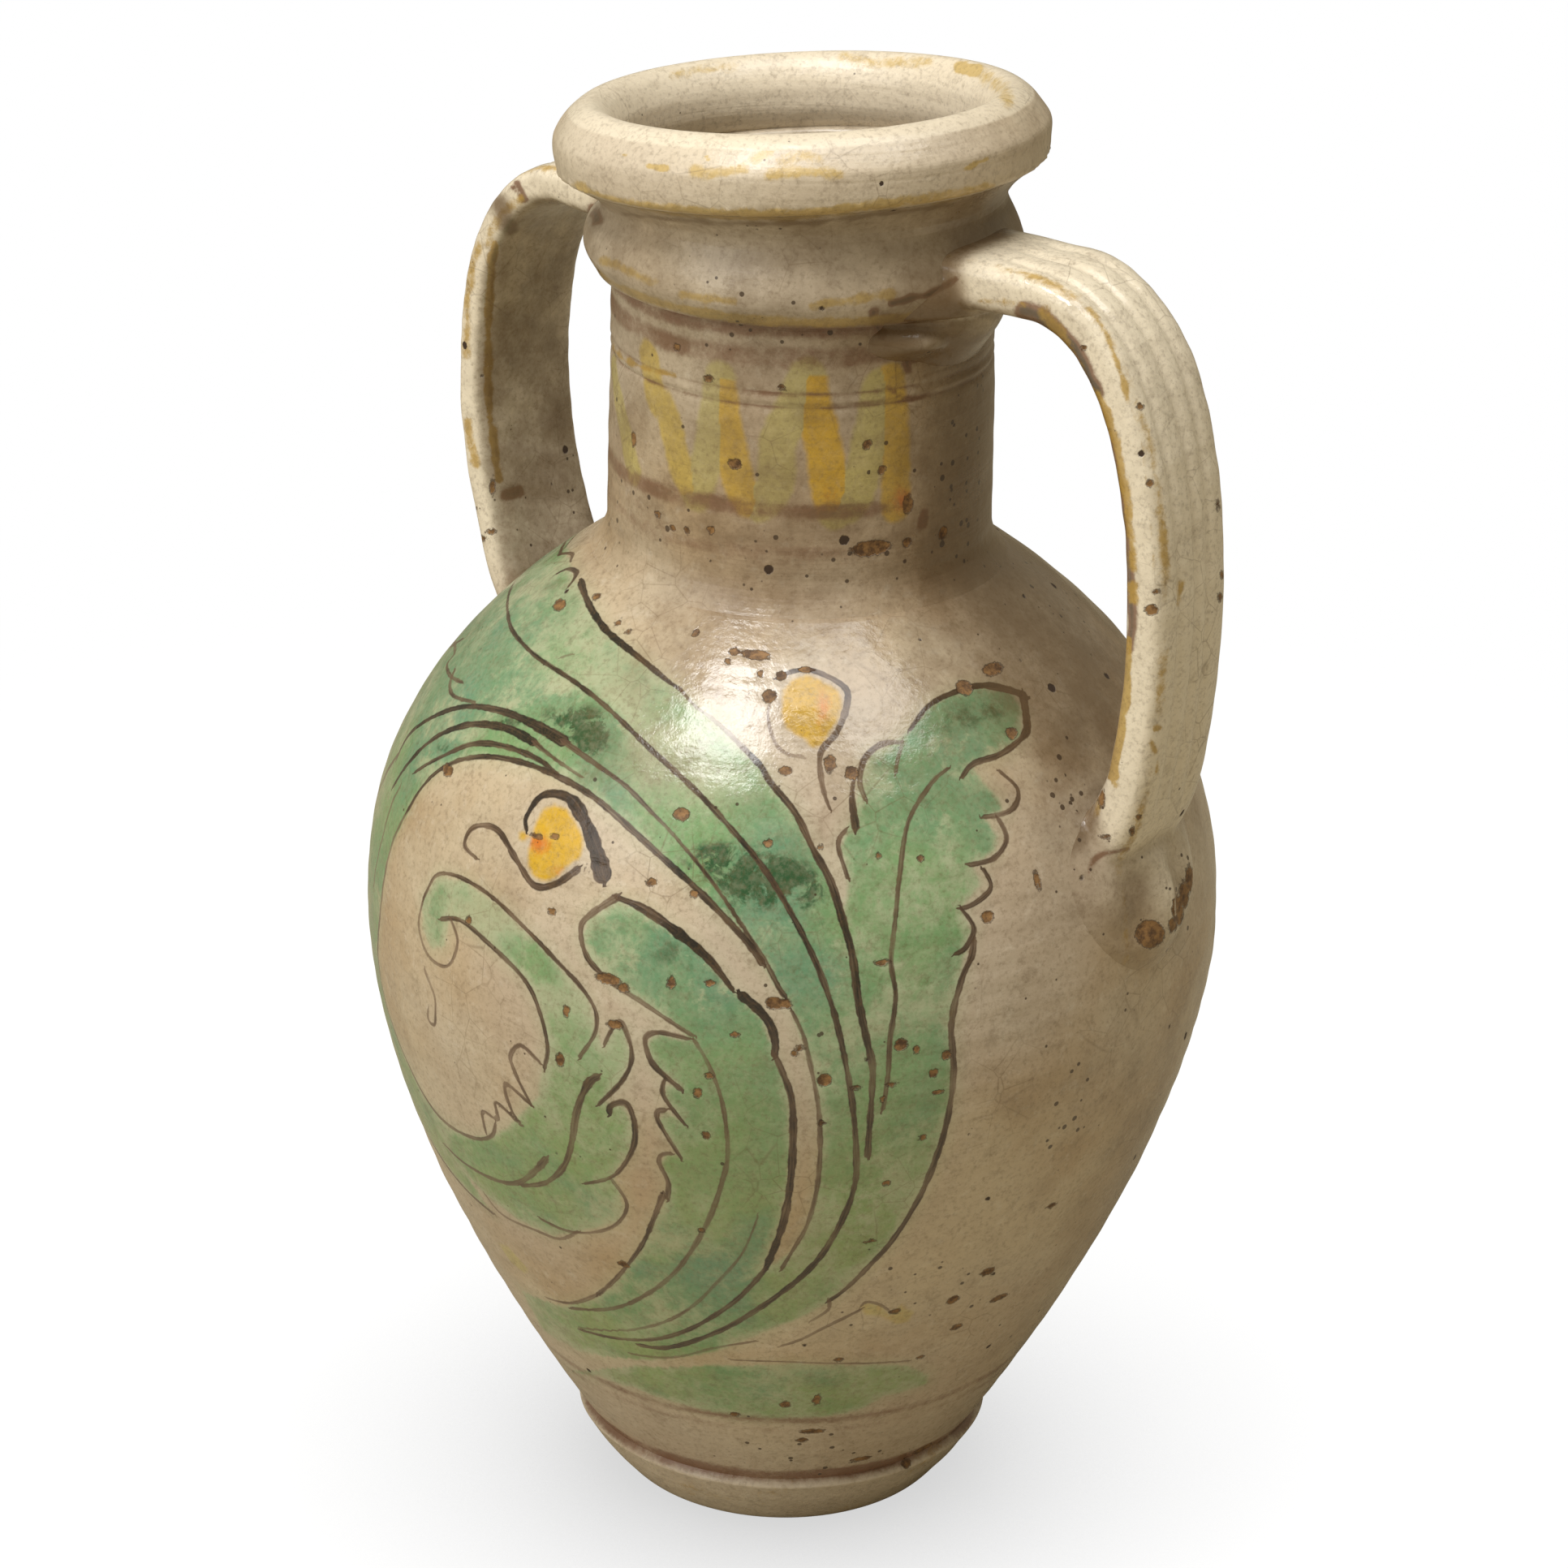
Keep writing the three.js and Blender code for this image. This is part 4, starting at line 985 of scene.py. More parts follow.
def makeGlaze(name, paint=(), layers=0, ochreTone="ochre", paleTone="pale", light=0.0, rough=0.0, wheel=0.0,
              paleMask=None):
    look = Look(name)
    brown, ochre, dirtAndShadeMask = look.parts("tint")
    color = look.blend(look.noiseFade(glaze["clouds"], 4, 0.55, 11.0, 0.4, 0.62), "cream", "warm")
    color = look.blend(look.noiseFade(glaze["drift"], 2, 0.5, 12.0, 0.45, 0.62, 0.0, 0.6), color, "cool")
    color = look.blend(look.noiseFade(glaze["mottle"], 4, 0.65, 13.0, 0.5, 0.75, 0.0, 0.35), color, "grey")
    # light lifts the glaze toward its pale tone; on the handles this lift is painted light
    fresh = look.noiseFade(glaze["fresh"], 3, 0.6, 14.0, 0.52, 0.75, light, 0.3 + light * 0.7)
    if paleMask:
        fresh = look.times(fresh, look.value(paleMask))
    color = look.blend(fresh, color, paleTone)
    if "green" in paint:
        color = addGreen(look, color)
    if "yellow" in paint:
        color = addYellow(look, color)
    for number in range(layers):
        color = addInk(look, color, number)
    # stains, grime and painted shade, and crackle
    worn = look.noise(glaze["worn"], 5, 0.75, 15.0, warp=0.5)
    stain = look.blend(look.fade(brown, 0.85, 1.3), "brown", "pit")
    color = look.blend(look.times(look.fade(look.plus(brown, worn), 0.55, 1.25), 0.88), color, stain)
    color = look.blend(look.times(look.fade(look.plus(ochre, worn), 0.75, 1.15), 0.85), color, ochreTone)
    grimeAndShade = look.plus(look.noise(glaze["grimeAndShade"], 5, 0.7, 16.0), dirtAndShadeMask)
    crackle = look.fade(look.cells(glaze["crackle"], "DISTANCE_TO_EDGE", 17.0)["Distance"], 0.02, 0.0)
    crackled = look.noiseFade(glaze["crackled"], 2, 0.5, 18.0, 0.45, 0.7)
    for cover in (
        look.fade(grimeAndShade, 0.45, 1.35, 0.0, 0.85),
        look.noiseFade(glaze["grain"], 3, 0.7, 16.5, 0.45, 0.75, 0.0, 0.38),
        look.noiseFade(glaze["smudge"], 5, 0.75, 16.7, 0.52, 0.72, 0.0, 0.3),
        look.times(crackle, crackled, 0.4),
    ):
        color = look.blend(cover, color, "dirt")
    # pits and dark specks
    hole = look.cells(glaze["pits"], seed=19.0)
    wide = look.fade(look.plus(look.chance(hole), look.times(dirtAndShadeMask, 0.5)), 0.6, 1.15, 0.0, 0.2)
    frayed = look.scaled(look.noise(glaze["pitEdge"], 3, 0.7, 20.5), 0.16, -0.08)
    pit = look.fade(look.calc("SUBTRACT", look.plus(hole["Distance"], frayed), wide), 0.02, -0.03)
    color = look.blend(look.times(pit, look.fade(wide, 0.0, 0.03)), color, "pit")
    speck = look.cells(glaze["specks"], seed=19.5)
    crowd = look.plus(look.chance(speck), look.noise(glaze["crowds"], 3, 0.6, 19.7), look.value("specks"))
    size = look.fade(crowd, 1.25, 2.0, 0.0, 0.42)
    dot = look.fade(look.calc("SUBTRACT", speck["Distance"], size), 0.05, -0.03)
    color = look.blend(look.times(dot, look.fade(size, 0.0, 0.05, 0.0, 0.85)), color, "pit")
    # flakes show the clay inside a dark edge
    ragged = look.scaled(look.noise(glaze["flakeEdge"], 4, 0.7, 20.0), 2.2, -1.25)
    ragged = look.plus(look.value("chip"), ragged)
    bare = look.fade(ragged, 0.12, -0.12)
    clay = look.blend(look.noiseFade(glaze["clay"], 4, 0.7, 21.0, 0.35, 0.65), "clay", "clayDark")
    edge = look.times(look.fade(ragged, 0.4, 0.1), look.calc("SUBTRACT", 1.0, bare), 0.75)
    color = look.blend(bare, look.blend(edge, color, "pit"), clay)
    # sheen and relief
    gone = look.calc("MAXIMUM", bare, pit)
    finish = look.noiseFade(glaze["sheen"], 5, 0.65, 22.0, 0.3, 0.7, glaze["smooth"], glaze["dull"])
    finish = look.plus(finish, look.scaled(gone, 0.45, rough))
    fine = look.times(look.noise(glaze["fine"], 3, 0.6, 24.0), look.fade(bare, 0, 1, 0.1, 0.5))
    relief = look.plus(look.times(look.noise(glaze["dimples"], 4, 0.6, 23.0), 0.8), fine)
    relief = look.calc("SUBTRACT", relief, look.times(gone, 0.9))
    height = look.node("ShaderNodeSeparateXYZ", {0: look.place}).outputs[2]
    rings = look.noise(glaze["rings"], 2, 0.6, 25.0, look.join(0.0, 0.0, look.times(height, 1 / mm)))
    relief = look.plus(relief, look.times(rings, wheel))
    bump = look.node("ShaderNodeBump", {
        "Height": relief, "Strength": glaze["bumpStrength"], "Distance": glaze["bumpHeight"]})
    shader = look.node("ShaderNodeBsdfPrincipled", {
        "Base Color": color, "Roughness": finish, "IOR": glaze["ior"], "Normal": bump.outputs[0]})
    look.node("ShaderNodeOutputMaterial", {"Surface": shader.outputs[0]})
    return look.material


# Thrown pieces

profileSteps = dict(foot=46, lower=128, upper=128, neck=84, inner=11, neckInner=5, collar=14, rim=6, bowl=5)
# Collar: its foot on the neck and bulge outside, and how the inside steps down from the mouth to the bore
collar = dict(footRadius=57.2, bulgeRise=6.3, taper=1, taperDrop=2, flare=2, flareRise=4.25, lipInset=2.6,
              lipDrop=1.2, throatInset=3.1, innerRadius=47.1, innerHeight=376, boreHeight=370)
# Foot: rings under its flat base, and the bowl that it forms inside
foot = dict(underRings=(0, 14, 28, 40), bowlNear=4, bowlRise=2.4, bowlFar=14, floorRing=18)


def between(start, end, count, radiusOf):
    z = np.linspace(start, end, count)
    return np.column_stack([radiusOf(z), z])


def edgeOfRim(side):
    drop = (rimJoint - rimMiddle) / (pot["rimHeight"] / 2)
    return rimMiddleRadius + side * pot["rimWidth"] / 2 * math.sqrt(1 - drop * drop)


collarLine = smoothLine([
    (collar["footRadius"], neckTop),
    (pot["ledgeRadius"], neckTop + collar["bulgeRise"]),
    (pot["ledgeRadius"] - collar["taper"], ledgeTop - collar["taperDrop"]),
    (pot["throatRadius"], throatHeight),
    (pot["throatRadius"] + collar["flare"], throatHeight + collar["flareRise"]),
    (edgeOfRim(1), rimJoint),
], profileSteps["collar"])


def outlineAt(z):
    z = np.asarray(z, float)
    return np.where(z < neckTop, potRadius(z), np.interp(z, collarLine[:, 1], collarLine[:, 0]))


def makeFoot():
    top, floor = pot["footHeight"], pot["floorThickness"]
    lip = lowerRadius(top) - pot["wall"]
    under = [(r, 0) for r in foot["underRings"]]
    side = between(0, top, profileSteps["foot"], footRadius)
    bowl = smoothLine([(lip, top), (lip - foot["bowlNear"], floor + foot["bowlRise"]),
                       (lip - foot["bowlFar"], floor)], profileSteps["bowl"])
    return spunMesh("foot", [*under, *side, *bowl, (foot["floorRing"], floor), (0, floor)], closed=False)


def makeLowerBody():
    outer = between(pot["footHeight"], seamHeight, profileSteps["lower"], lowerRadius)
    inner = between(seamHeight, pot["footHeight"], profileSteps["inner"], lowerRadius) - (pot["wall"], 0)
    return spunMesh("lowerBody", [*outer, *inner])


def makeUpperBody():
    outer = between(seamHeight, neckBottom, profileSteps["upper"], shoulderRadius)
    inner = between(neckBottom, seamHeight, profileSteps["inner"], shoulderBore)
    return spunMesh("upperBody", [*outer, *inner])


def makeNeck():
    outer = between(neckBottom, neckTop, profileSteps["neck"], neckRadius)
    inner = between(neckTop, neckBottom, profileSteps["neckInner"], lambda z: z * 0 + neckBore)
    return spunMesh("neck", [*outer, *inner])


def makeCollar():
    mouth = edgeOfRim(1) - pot["collarWall"]
    inner = smoothLine([
        (mouth, rimJoint), (mouth - collar["lipInset"], rimJoint - collar["lipDrop"]),
        (mouth - collar["throatInset"], throatHeight), (collar["innerRadius"], collar["innerHeight"]),
        (neckBore, collar["boreHeight"])], profileSteps["rim"])
    return spunMesh("collar", [(neckRadius(neckTop), neckTop), *collarLine, *inner, (neckBore, neckTop)])


rimLine = [
    (63.6, 390.5), (66.4, 392.4), (67.3, 396.2), (67.5, 400.4), (66.4, 403.2), (63.2, 407.4), (59.2, 410.2),
    (55.6, 410.2), (52.2, 407.2), (50.2, 402.8), (50.0, 397.4), (51.2, 393.4), (53.2, 390.5),
]


def makeRim():
    return spunMesh("rim", smoothLine(rimLine, profileSteps["rim"]))


# Handles: straps with clay worked round their ends

sides = dict(
    right=dict(azimuth=5.5, width=37, thickness=14, endThickness=16, crownOut=26, crownRise=3, crownPull=26,
               pastBelly=-0.2, loopDrop=84.5, pullUp=52, pullDown=30, landingDrop=147.5, landingDepth=4,
               landingAngle=60, landingPull=16, grooves=[(-9, 1.0), (-1, 1.1), (7, 0.9)], innerShade=0.25, seed=31),
    left=dict(azimuth=174.5, width=38, thickness=12, endThickness=14, crownOut=25, crownRise=0.5,
              crownPull=23, pastBelly=-3.1, loopDrop=61.5, pullUp=37, pullDown=28, landingDrop=128.5,
              landingDepth=1.5, landingAngle=62, landingPull=18, innerShade=0.5, seed=32,
              grooves=[(-8, 0.8), (0, 0.9), (8, 0.8)]),
)
# Clay round an end: half its spread round the pot and up, how proud, how far under the route, its droop
upperRoot = dict(arc=31, rise=16, height=8, below=9, droop=0.1)
lowerRoot = dict(arc=31, rise=25, height=9, below=11, droop=0.22)
# clay wiped from the right strap forwards along the underside of the ledge, and its turn in degrees
tongue = dict(arc=17, rise=6.5, height=6.2, below=13.5, droop=0, turn=-20)
# thumb prints in the lower roots: mm round and up from the root's middle, half width and height, depth
thumbs = [(-10, -2, 8, 10, 4.5), (7, -1, 6, 10, 3.5)]
# Straps: where they start inside the neck's wall, mesh steps, and how much of each end is its root
strap = dict(startRadius=50, landingPast=4, routeSteps=220, across=96, along=200, upperEnd=21, lowerEnd=24,
             grooveWidth=1.5, voxel=0.9)


def bezier(a, b, c, d, count=40):
    t = np.linspace(0, 1, count)[:, None]
    return (1 - t) ** 3 * a + 3 * t * (1 - t) ** 2 * b + 3 * t * t * (1 - t) * c + t ** 3 * d


def strapRoute(side):
    # the middle line of a strap in its upright plane: outwards and up
    crown = np.array([pot["neckRadius"] + side["crownOut"], ledgeMiddle + side["crownRise"]])
    widest = np.array([pot["bellyRadius"] + side["pastBelly"], ledgeMiddle - side["loopDrop"]])
    low = ledgeMiddle - side["landingDrop"]
    landing = np.array([shoulderRadius(low) - side["landingDepth"], low])
    lead = wayAt(side["landingAngle"])
    start = np.linspace([strap["startRadius"], crown[1]], crown, 12, endpoint=False)
    over = bezier(crown, crown + (side["crownPull"], 0), widest + (0, side["pullUp"]), widest)
    under = bezier(widest, widest - (0, side["pullDown"]), landing + lead * side["landingPull"], landing)
    route = np.vstack([start, over, under[1:], [landing - lead * strap["landingPast"]]])
    run = runsAlong(route)
    even = np.linspace(0, run[-1], strap["routeSteps"])
    return np.column_stack([np.interp(even, run, column) for column in route.T]), run[-1]


def waysAlong(route):
    ahead = np.gradient(route, axis=0)
    return ahead / np.linalg.norm(ahead, axis=1)[:, None]


def addMound(bm, root, height, azimuth):
    # clay feathered out onto the pot round a handle's end
    ball = bmesh.ops.create_icosphere(bm, subdivisions=6, radius=1)["verts"]
    x, y, z = np.array([vert.co for vert in ball]).T
    lean = 1 + root["droop"] * z
    up = height + z * root["rise"]
    around = y * root["arc"] * lean
    proud = root["height"] * np.clip(x, 0, 1) ** 3 + 4 * np.clip(x, -1, 0) - 0.3
    radius = outlineAt(up) + proud
    turn = math.radians(azimuth) + around / outlineAt(up)
    spots = np.column_stack([radius * np.cos(turn), radius * np.sin(turn), up])
    for vert, place in zip(ball, spots * mm):
        vert.co = place


def addStrap(bm, side, route):
    # a long grid is rolled up round the route and closed into a flat bar
    grid = bmesh.ops.create_grid(bm, x_segments=strap["across"], y_segments=strap["along"], size=1)["verts"]
    ahead = waysAlong(route)
    outwards = wayAt(side["azimuth"])
    for vert in grid:
        along = (vert.co.y + 1) / 2
        angle = math.pi * vert.co.x
        place = along * (len(route) - 1)
        row = min(int(place), len(route) - 2)
        part = place - row
        middle = route[row] * (1 - part) + route[row + 1] * part
        way = ahead[row] * (1 - part) + ahead[row + 1] * part
        ends = abs(2 * along - 1) ** 3
        thick = side["thickness"] + (side["endThickness"] - side["thickness"]) * ends
        c, s = math.cos(angle), math.sin(angle)
        squared = (c ** 4 + s ** 4) ** -0.25
        across = c * squared * side["width"] / 2
        out = s * squared * thick / 2
        reach, up = middle[0] - way[1] * out, middle[1] + way[0] * out
        x, y = reach * outwards + across * np.array([-outwards[1], outwards[0]])
        vert.co = (x * mm, y * mm, up * mm)
    bmesh.ops.remove_doubles(bm, verts=grid, dist=1e-6)
    ends = [edge for edge in bm.edges if edge.is_boundary]
    bmesh.ops.holes_fill(bm, edges=ends, sides=0)


def remeshed(bm, name):
    # joins the strap and the clay round its ends into one skin
    bmesh.ops.recalc_face_normals(bm, faces=bm.faces)
    mesh = meshFrom(bm, name)
    holder = addObject(name, mesh)
    remesh = holder.modifiers.new("remesh", "REMESH")
    remesh.mode = "VOXEL"
    remesh.voxel_size = strap["voxel"] * mm
    result = bpy.data.meshes.new_from_object(holder.evaluated_get(bpy.context.evaluated_depsgraph_get()))
    bpy.data.objects.remove(holder)
    bpy.data.meshes.remove(mesh)
    return result


def strapPlaces(co, side, route):
    # each point's run along the strap, its place across it, and how far out of its middle it lies
    c, s = wayAt(side["azimuth"])
    across = co[:, 1] * c - co[:, 0] * s
    flat = np.column_stack([co[:, 0] * c + co[:, 1] * s, co[:, 2]])
    ahead = waysAlong(route)
    parts = np.array_split(flat, 20)
    row = np.concatenate([np.linalg.norm(part[:, None] - route, axis=2).argmin(1) for part in parts])
    off = flat - route[row]
    along = row + (off * ahead[row]).sum(1) / np.linalg.norm(route[1] - route[0])
    out = off[:, 0] * -ahead[row, 1] + off[:, 1] * ahead[row, 0]
    return along / (len(route) - 1), across, out


def thumbDepth(co, side):
    radius = np.hypot(co[:, 0], co[:, 1])
    turn = np.degrees(np.arctan2(co[:, 1], co[:, 0])) - side["azimuth"]
    around = np.radians((turn + 180) % 360 - 180) * radius
    up = co[:, 2] - (ledgeMiddle - side["landingDrop"] - lowerRoot["below"])
    presses = [deep * np.exp(-((around - across) / wide) ** 2 - ((up - rise) / tall) ** 4)
               for across, rise, wide, tall, deep in thumbs]
    return np.max(presses, axis=0)


def shapeHandle(mesh, side, route, total):
    bm = bmesh.new()
    bm.from_mesh(mesh)
    for _ in range(3):
        bmesh.ops.smooth_vert(bm, verts=bm.verts, factor=0.5, use_axis_x=True, use_axis_y=True,
                              use_axis_z=True)
    bm.to_mesh(mesh)
    bm.free()
    co = places(mesh)
    along, across, out = strapPlaces(co, side, route)
    radius = np.hypot(co[:, 0], co[:, 1])
    free = smoothStep(along * total, 14, 30) * smoothStep((1 - along) * total, 16, 34)
    outer = smoothStep(out, 1, 4)
    push = np.zeros(len(co))
    for place, depth in side["grooves"]:
        drift = place + 1.2 * np.sin(along * 5 + place)
        push -= depth * np.exp(-((across - drift) / strap["grooveWidth"]) ** 2) * outer
    push -= 0.5 * (1 + waves(co, 34, side["seed"])) / 2 + 0.25 * (1 + waves(co, 9, side["seed"] + 5)) / 2
    co = co + vectorsOf(mesh, "normal") * (push * free)[:, None]
    shaped = co.copy()
    base = outlineAt(co[:, 2])
    onSurface = np.column_stack([co[:, :2] * (base / radius)[:, None], co[:, 2]])
    shift = np.hypot(*handShape(onSurface)[:, :2].T) - base
    near = 1 - smoothStep(radius - base, 2, 14)
    pressed = np.maximum(radius - thumbDepth(co, side), np.minimum(radius, base + 1.2))
    depth = np.maximum(pressed, base - 4)
    shaped[:, :2] *= ((depth + shift * near) / radius)[:, None]
    setPlaces(mesh, shaped)


def splitMesh(mesh, side, route, at, keepAfter):
    # cuts a handle across its strap and closes the cut
    row = int(at * (len(route) - 1))
    way = route[row + 1] - route[row]
    outwards = wayAt(side["azimuth"])
    spot = np.append(route[row, 0] * outwards, route[row, 1]) * mm
    normal = np.append(way[0] * outwards, way[1])
    bm = bmesh.new()
    bm.from_mesh(mesh)
    bmesh.ops.bisect_plane(bm, geom=bm.verts[:] + bm.edges[:] + bm.faces[:], dist=1e-7, plane_co=spot,
                           plane_no=normal, clear_inner=keepAfter, clear_outer=not keepAfter)
    bmesh.ops.holes_fill(bm, edges=[edge for edge in bm.edges if edge.is_boundary], sides=0)
    return meshFrom(bm, mesh.name)


# Ochre along the front edge of a strap: how far in, half width and strength
trim = dict(inset=3.5, width=2.2, strength=0.42)


def paintHandle(mesh, side, route):
    co = places(mesh)
    along, across, out = strapPlaces(co, side, route)
    toCamera = across * (-1 if side["azimuth"] < 90 else 1)
    fromLine = (toCamera - side["width"] / 2 + trim["inset"]) / trim["width"]
    edgeLine = np.exp(-fromLine ** 2) * smoothStep(out, -2, 2)
    ochre = edgeLine * (trim["strength"] + 0.2 * waves(co, 30, side["seed"] + 9))
    inner = 1 - smoothStep(out, -5, -1)
    # innerShade darkens the strap's face turned to the pot: painted shade
    dirt = 0.1 * waves(co, 40, side["seed"] + 11) + side["innerShade"] * inner
    radius = np.hypot(co[:, 0], co[:, 1])
    skirt = 1 - smoothStep(radius - outlineAt(co[:, 2]), 1, 9)
    dirt += 0.05 * thumbDepth(co, side) + 0.15 * smoothStep(along, 0.82, 0.95)
    dirt += skirt * (potTint(co)[:, 2] + 0.5 * (along < 0.5))
    setValues(mesh, "paleShare", 1 - skirt)
    tint = np.column_stack([inner * 0.12, ochre, dirt])
    normals = vectorsOf(mesh, "normal")
    for group in ("ledge", "right" if side["azimuth"] < 90 else "left"):
        addStains(co, normals, tint, group)
    setValues(mesh, "tint", tint)
    setValues(mesh, "chip", handleChips(co, normals))
    setValues(mesh, "specks", speckField(co, normals) + 0.1 * inner)


def makeHandle(name, side):
    route, total = strapRoute(side)
    bm = bmesh.new()
    addStrap(bm, side, route)
    addMound(bm, upperRoot, ledgeMiddle - upperRoot["below"], side["azimuth"])
    addMound(bm, lowerRoot, ledgeMiddle - side["landingDrop"] - lowerRoot["below"], side["azimuth"])
    if "Right" in name:
        addMound(bm, tongue, ledgeMiddle - tongue["below"], side["azimuth"] + tongue["turn"])
    whole = remeshed(bm, name)
    shapeHandle(whole, side, route, total)
    top, bottom = strap["upperEnd"] / total, 1 - strap["lowerEnd"] / total
    upper = splitMesh(whole, side, route, top, False)
    rest = splitMesh(whole, side, route, top, True)
    middle = splitMesh(rest, side, route, bottom, False)
    lower = splitMesh(rest, side, route, bottom, True)
    for part, suffix, node in (
            (upper, "UpperRoot", "_upper_root"), (middle, "", ""), (lower, "LowerRoot", "_lower_root")):
        part.name = name + suffix
        paintHandle(part, side, route)
        nodes = ["handle_" + name[6:].lower() + node]
        addPiece(name + suffix, part, nodes, glazes["handle"])


def outwardOf(co):
    radius = np.hypot(co[:, 0], co[:, 1]) + 1e-9
    slope = outlineAt(co[:, 2] + 0.5) - outlineAt(co[:, 2] - 0.5)
    way = np.column_stack([co[:, 0] / radius, co[:, 1] / radius, -slope])
    return way / np.linalg.norm(way, axis=1)[:, None]


# Soft brown bands: lowest and highest edge, strength, and the turn in degrees that each fades over
bands = [
    (48.6, 51.4, 0.55, None), (44.2, 46, 0.4, None), (19.8, 24.5, 0.85, None),
    (350.5, 356, 0.6, (62, 95)), (358.3, 363.8, 0.7, None), (308.5, 313, 0.7, (60, 72)),
    (302, 311, 0.25, (-12, 6)), (297.5, 301, 0.4, (58, 70)), (296, 304, 0.2, None),
]
# Darker zones on shoulder and neck: strength, heights that they set in and end over, and a turn in degrees
# that they grow over
darkZones = [
    (0.2, (225, 262), (286, 292), (-40, 20)), (0.2, (272, 292), (355, 366), (-70, -10)),
    (0.14, (284, 292), (355, 366), None),
]
# shadeSide darkens the side turned from the lamps, more up the shoulder: painted shade
shadeSide = dict(start=(55, 110), end=(160, 180), dirt=0.26, more=0.3, heights=(215, 265), gone=(372, 392))
incised = dict(heights=(343.3, 339.8), depth=0.5, width=0.7, stainWidth=0.6)  # fine lines cut round the neck
ochreGlow = dict(footHeights=(14, 34), strength=0.4, ledgeHeight=365, ledgeWidth=1.8)
rimBead = dict(height=392.5, width=1.3, proud=0.5, size=3.5)
flakeDip = 0.25
nearEdge = 165  # pixel row of the photograph down to which the inside of the mouth is seen


def turnFromFront(co):
    turn = np.degrees(np.arctan2(co[:, 1], co[:, 0])) + 90
    return (turn + 180) % 360 - 180


def potTint(co):
    z = co[:, 2]
    turn = turnFromFront(co)
    sway = 0.5 * np.sin(np.radians(turn) * 3 + z / 9) + 0.3 * waves(co, 25, 43)
    brown = np.zeros(len(co))
    for low, high, strength, ends in bands:
        band = smoothStep(z + sway, low - 1.6, low + 1.4) * (1 - smoothStep(z + sway, high - 1.4, high + 1.6))
        band *= 0.85 + 0.3 * waves(co, 22, int(low))
        if ends:
            band *= 1 - smoothStep(np.where(turn < -90, 180, turn), *ends) * 0.8
        brown = np.maximum(brown, strength * band)
    dirt = 0.08 * waves(co, 70, 41)
    for strength, heights, gone, turns in darkZones:
        cover = strength * smoothStep(z, *heights) * (1 - smoothStep(z, *gone))
        dirt += cover * smoothStep(turn, *turns) if turns else cover
    # painted shade on the side turned from the lamps
    right = smoothStep(turn, *shadeSide["start"]) * (1 - smoothStep(turn, *shadeSide["end"]))
    higher = smoothStep(z, *shadeSide["heights"]) * (1 - smoothStep(z, *shadeSide["gone"]))
    dirt += right * (shadeSide["dirt"] + shadeSide["more"] * higher)
    for height in incised["heights"]:
        cut = np.exp(-((z - height) / incised["stainWidth"]) ** 2)
        brown = np.maximum(brown, (0.5 + 0.3 * waves(co, 12, 47)) * cut)
    low = 1 - smoothStep(z, *ochreGlow["footHeights"])
    ledge = np.exp(-((z - ochreGlow["ledgeHeight"]) / ochreGlow["ledgeWidth"]) ** 2)
    ochre = ochreGlow["strength"] * low * (0.5 + 0.5 * waves(co, 30, 42))
    ochre += (0.6 + 0.2 * waves(co, 20, 44)) * ledge
    return np.column_stack([brown, ochre, dirt])


# What a thrown piece has of its own: stains, how much darker its inside is (below zero paler, a painted
# light), more specks, and more brown, ochre and darkening
plainPaint = dict(stains=(), inside=0.2, specks=0, more=(0, 0, 0))
potPaint = dict(
    neck={**plainPaint, "stains": ("ledge", "throat"), "specks": 0.12},
    collar={**plainPaint, "stains": ("ledge", "throat", "lip"), "inside": 0.35, "more": (0, 0.12, 0.42)},
    rim={**plainPaint, "stains": ("lip",), "inside": -0.1},
)
leafyHeights = (110, 200)    # the green turns yellower down the belly


def paintPot(mesh, kind):
    paint = potPaint.get(kind, plainPaint)
    co = places(mesh)
    outward = outwardOf(co)
    radius = np.hypot(co[:, 0], co[:, 1]) + 1e-9
    outside = radius > outlineAt(co[:, 2]) - 1
    hidden = ~outside
    if kind in ("lower", "upper"):
        paintInk(mesh, co, outward, inkLayers)
        field = washField(co)
        field[hidden] = farAway
        setValues(mesh, "wash", np.column_stack([
            field, blotField(co, poolsAndHighlight) * facing(co, outward), 1 - smoothStep(co[:, 2], *leafyHeights)]))
    if kind in ("lower", "upper", "neck"):
        yellow = yellowField(co)
        yellow[hidden, 0] = farAway
        setValues(mesh, "yellow", yellow)
    tint = potTint(co) + paint["more"]
    # the inside is darkened by inside; the rim's value below zero makes its inside paler, a painted light
    tint[hidden, 2] = paint["inside"]
    unmarked = tint.copy()
    placed = leanMouth(handShape(co))
    for group in paint["stains"]:
        addStains(placed, vectorsOf(mesh, "normal"), tint, group)
    unseen = hidden & (inPicture(placed)[:, 1] > nearEdge)
    tint[unseen] = unmarked[unseen]
    chips = chipField(co)
    chips[hidden] = flakeReach
    # the inside of the mouth is paler than its outside: painted light falling in from above
    if kind in ("collar", "rim"):
        setValues(mesh, "paleShare", np.where(hidden, 0.8, 0.35))
    setValues(mesh, "tint", tint)
    setValues(mesh, "chip", chips)
    setValues(mesh, "specks", speckField(co, outward) + paint["specks"])
    dip = -flakeDip * (1 - smoothStep(chips, -0.3, 0.3)) * outside
    for height in incised["heights"]:
        dip -= incised["depth"] * np.exp(-((co[:, 2] - height) / incised["width"]) ** 2) * outside
    if kind == "rim":
        bead = np.exp(-((co[:, 2] - rimBead["height"]) / rimBead["width"]) ** 2)
        dip += rimBead["proud"] * bead * waves(co, rimBead["size"], 91).clip(-0.2, 1) * outside
    chipped = co.copy()
    chipped[:, :2] *= (1 + dip / radius)[:, None]
    setPlaces(mesh, leanMouth(handShape(chipped)))
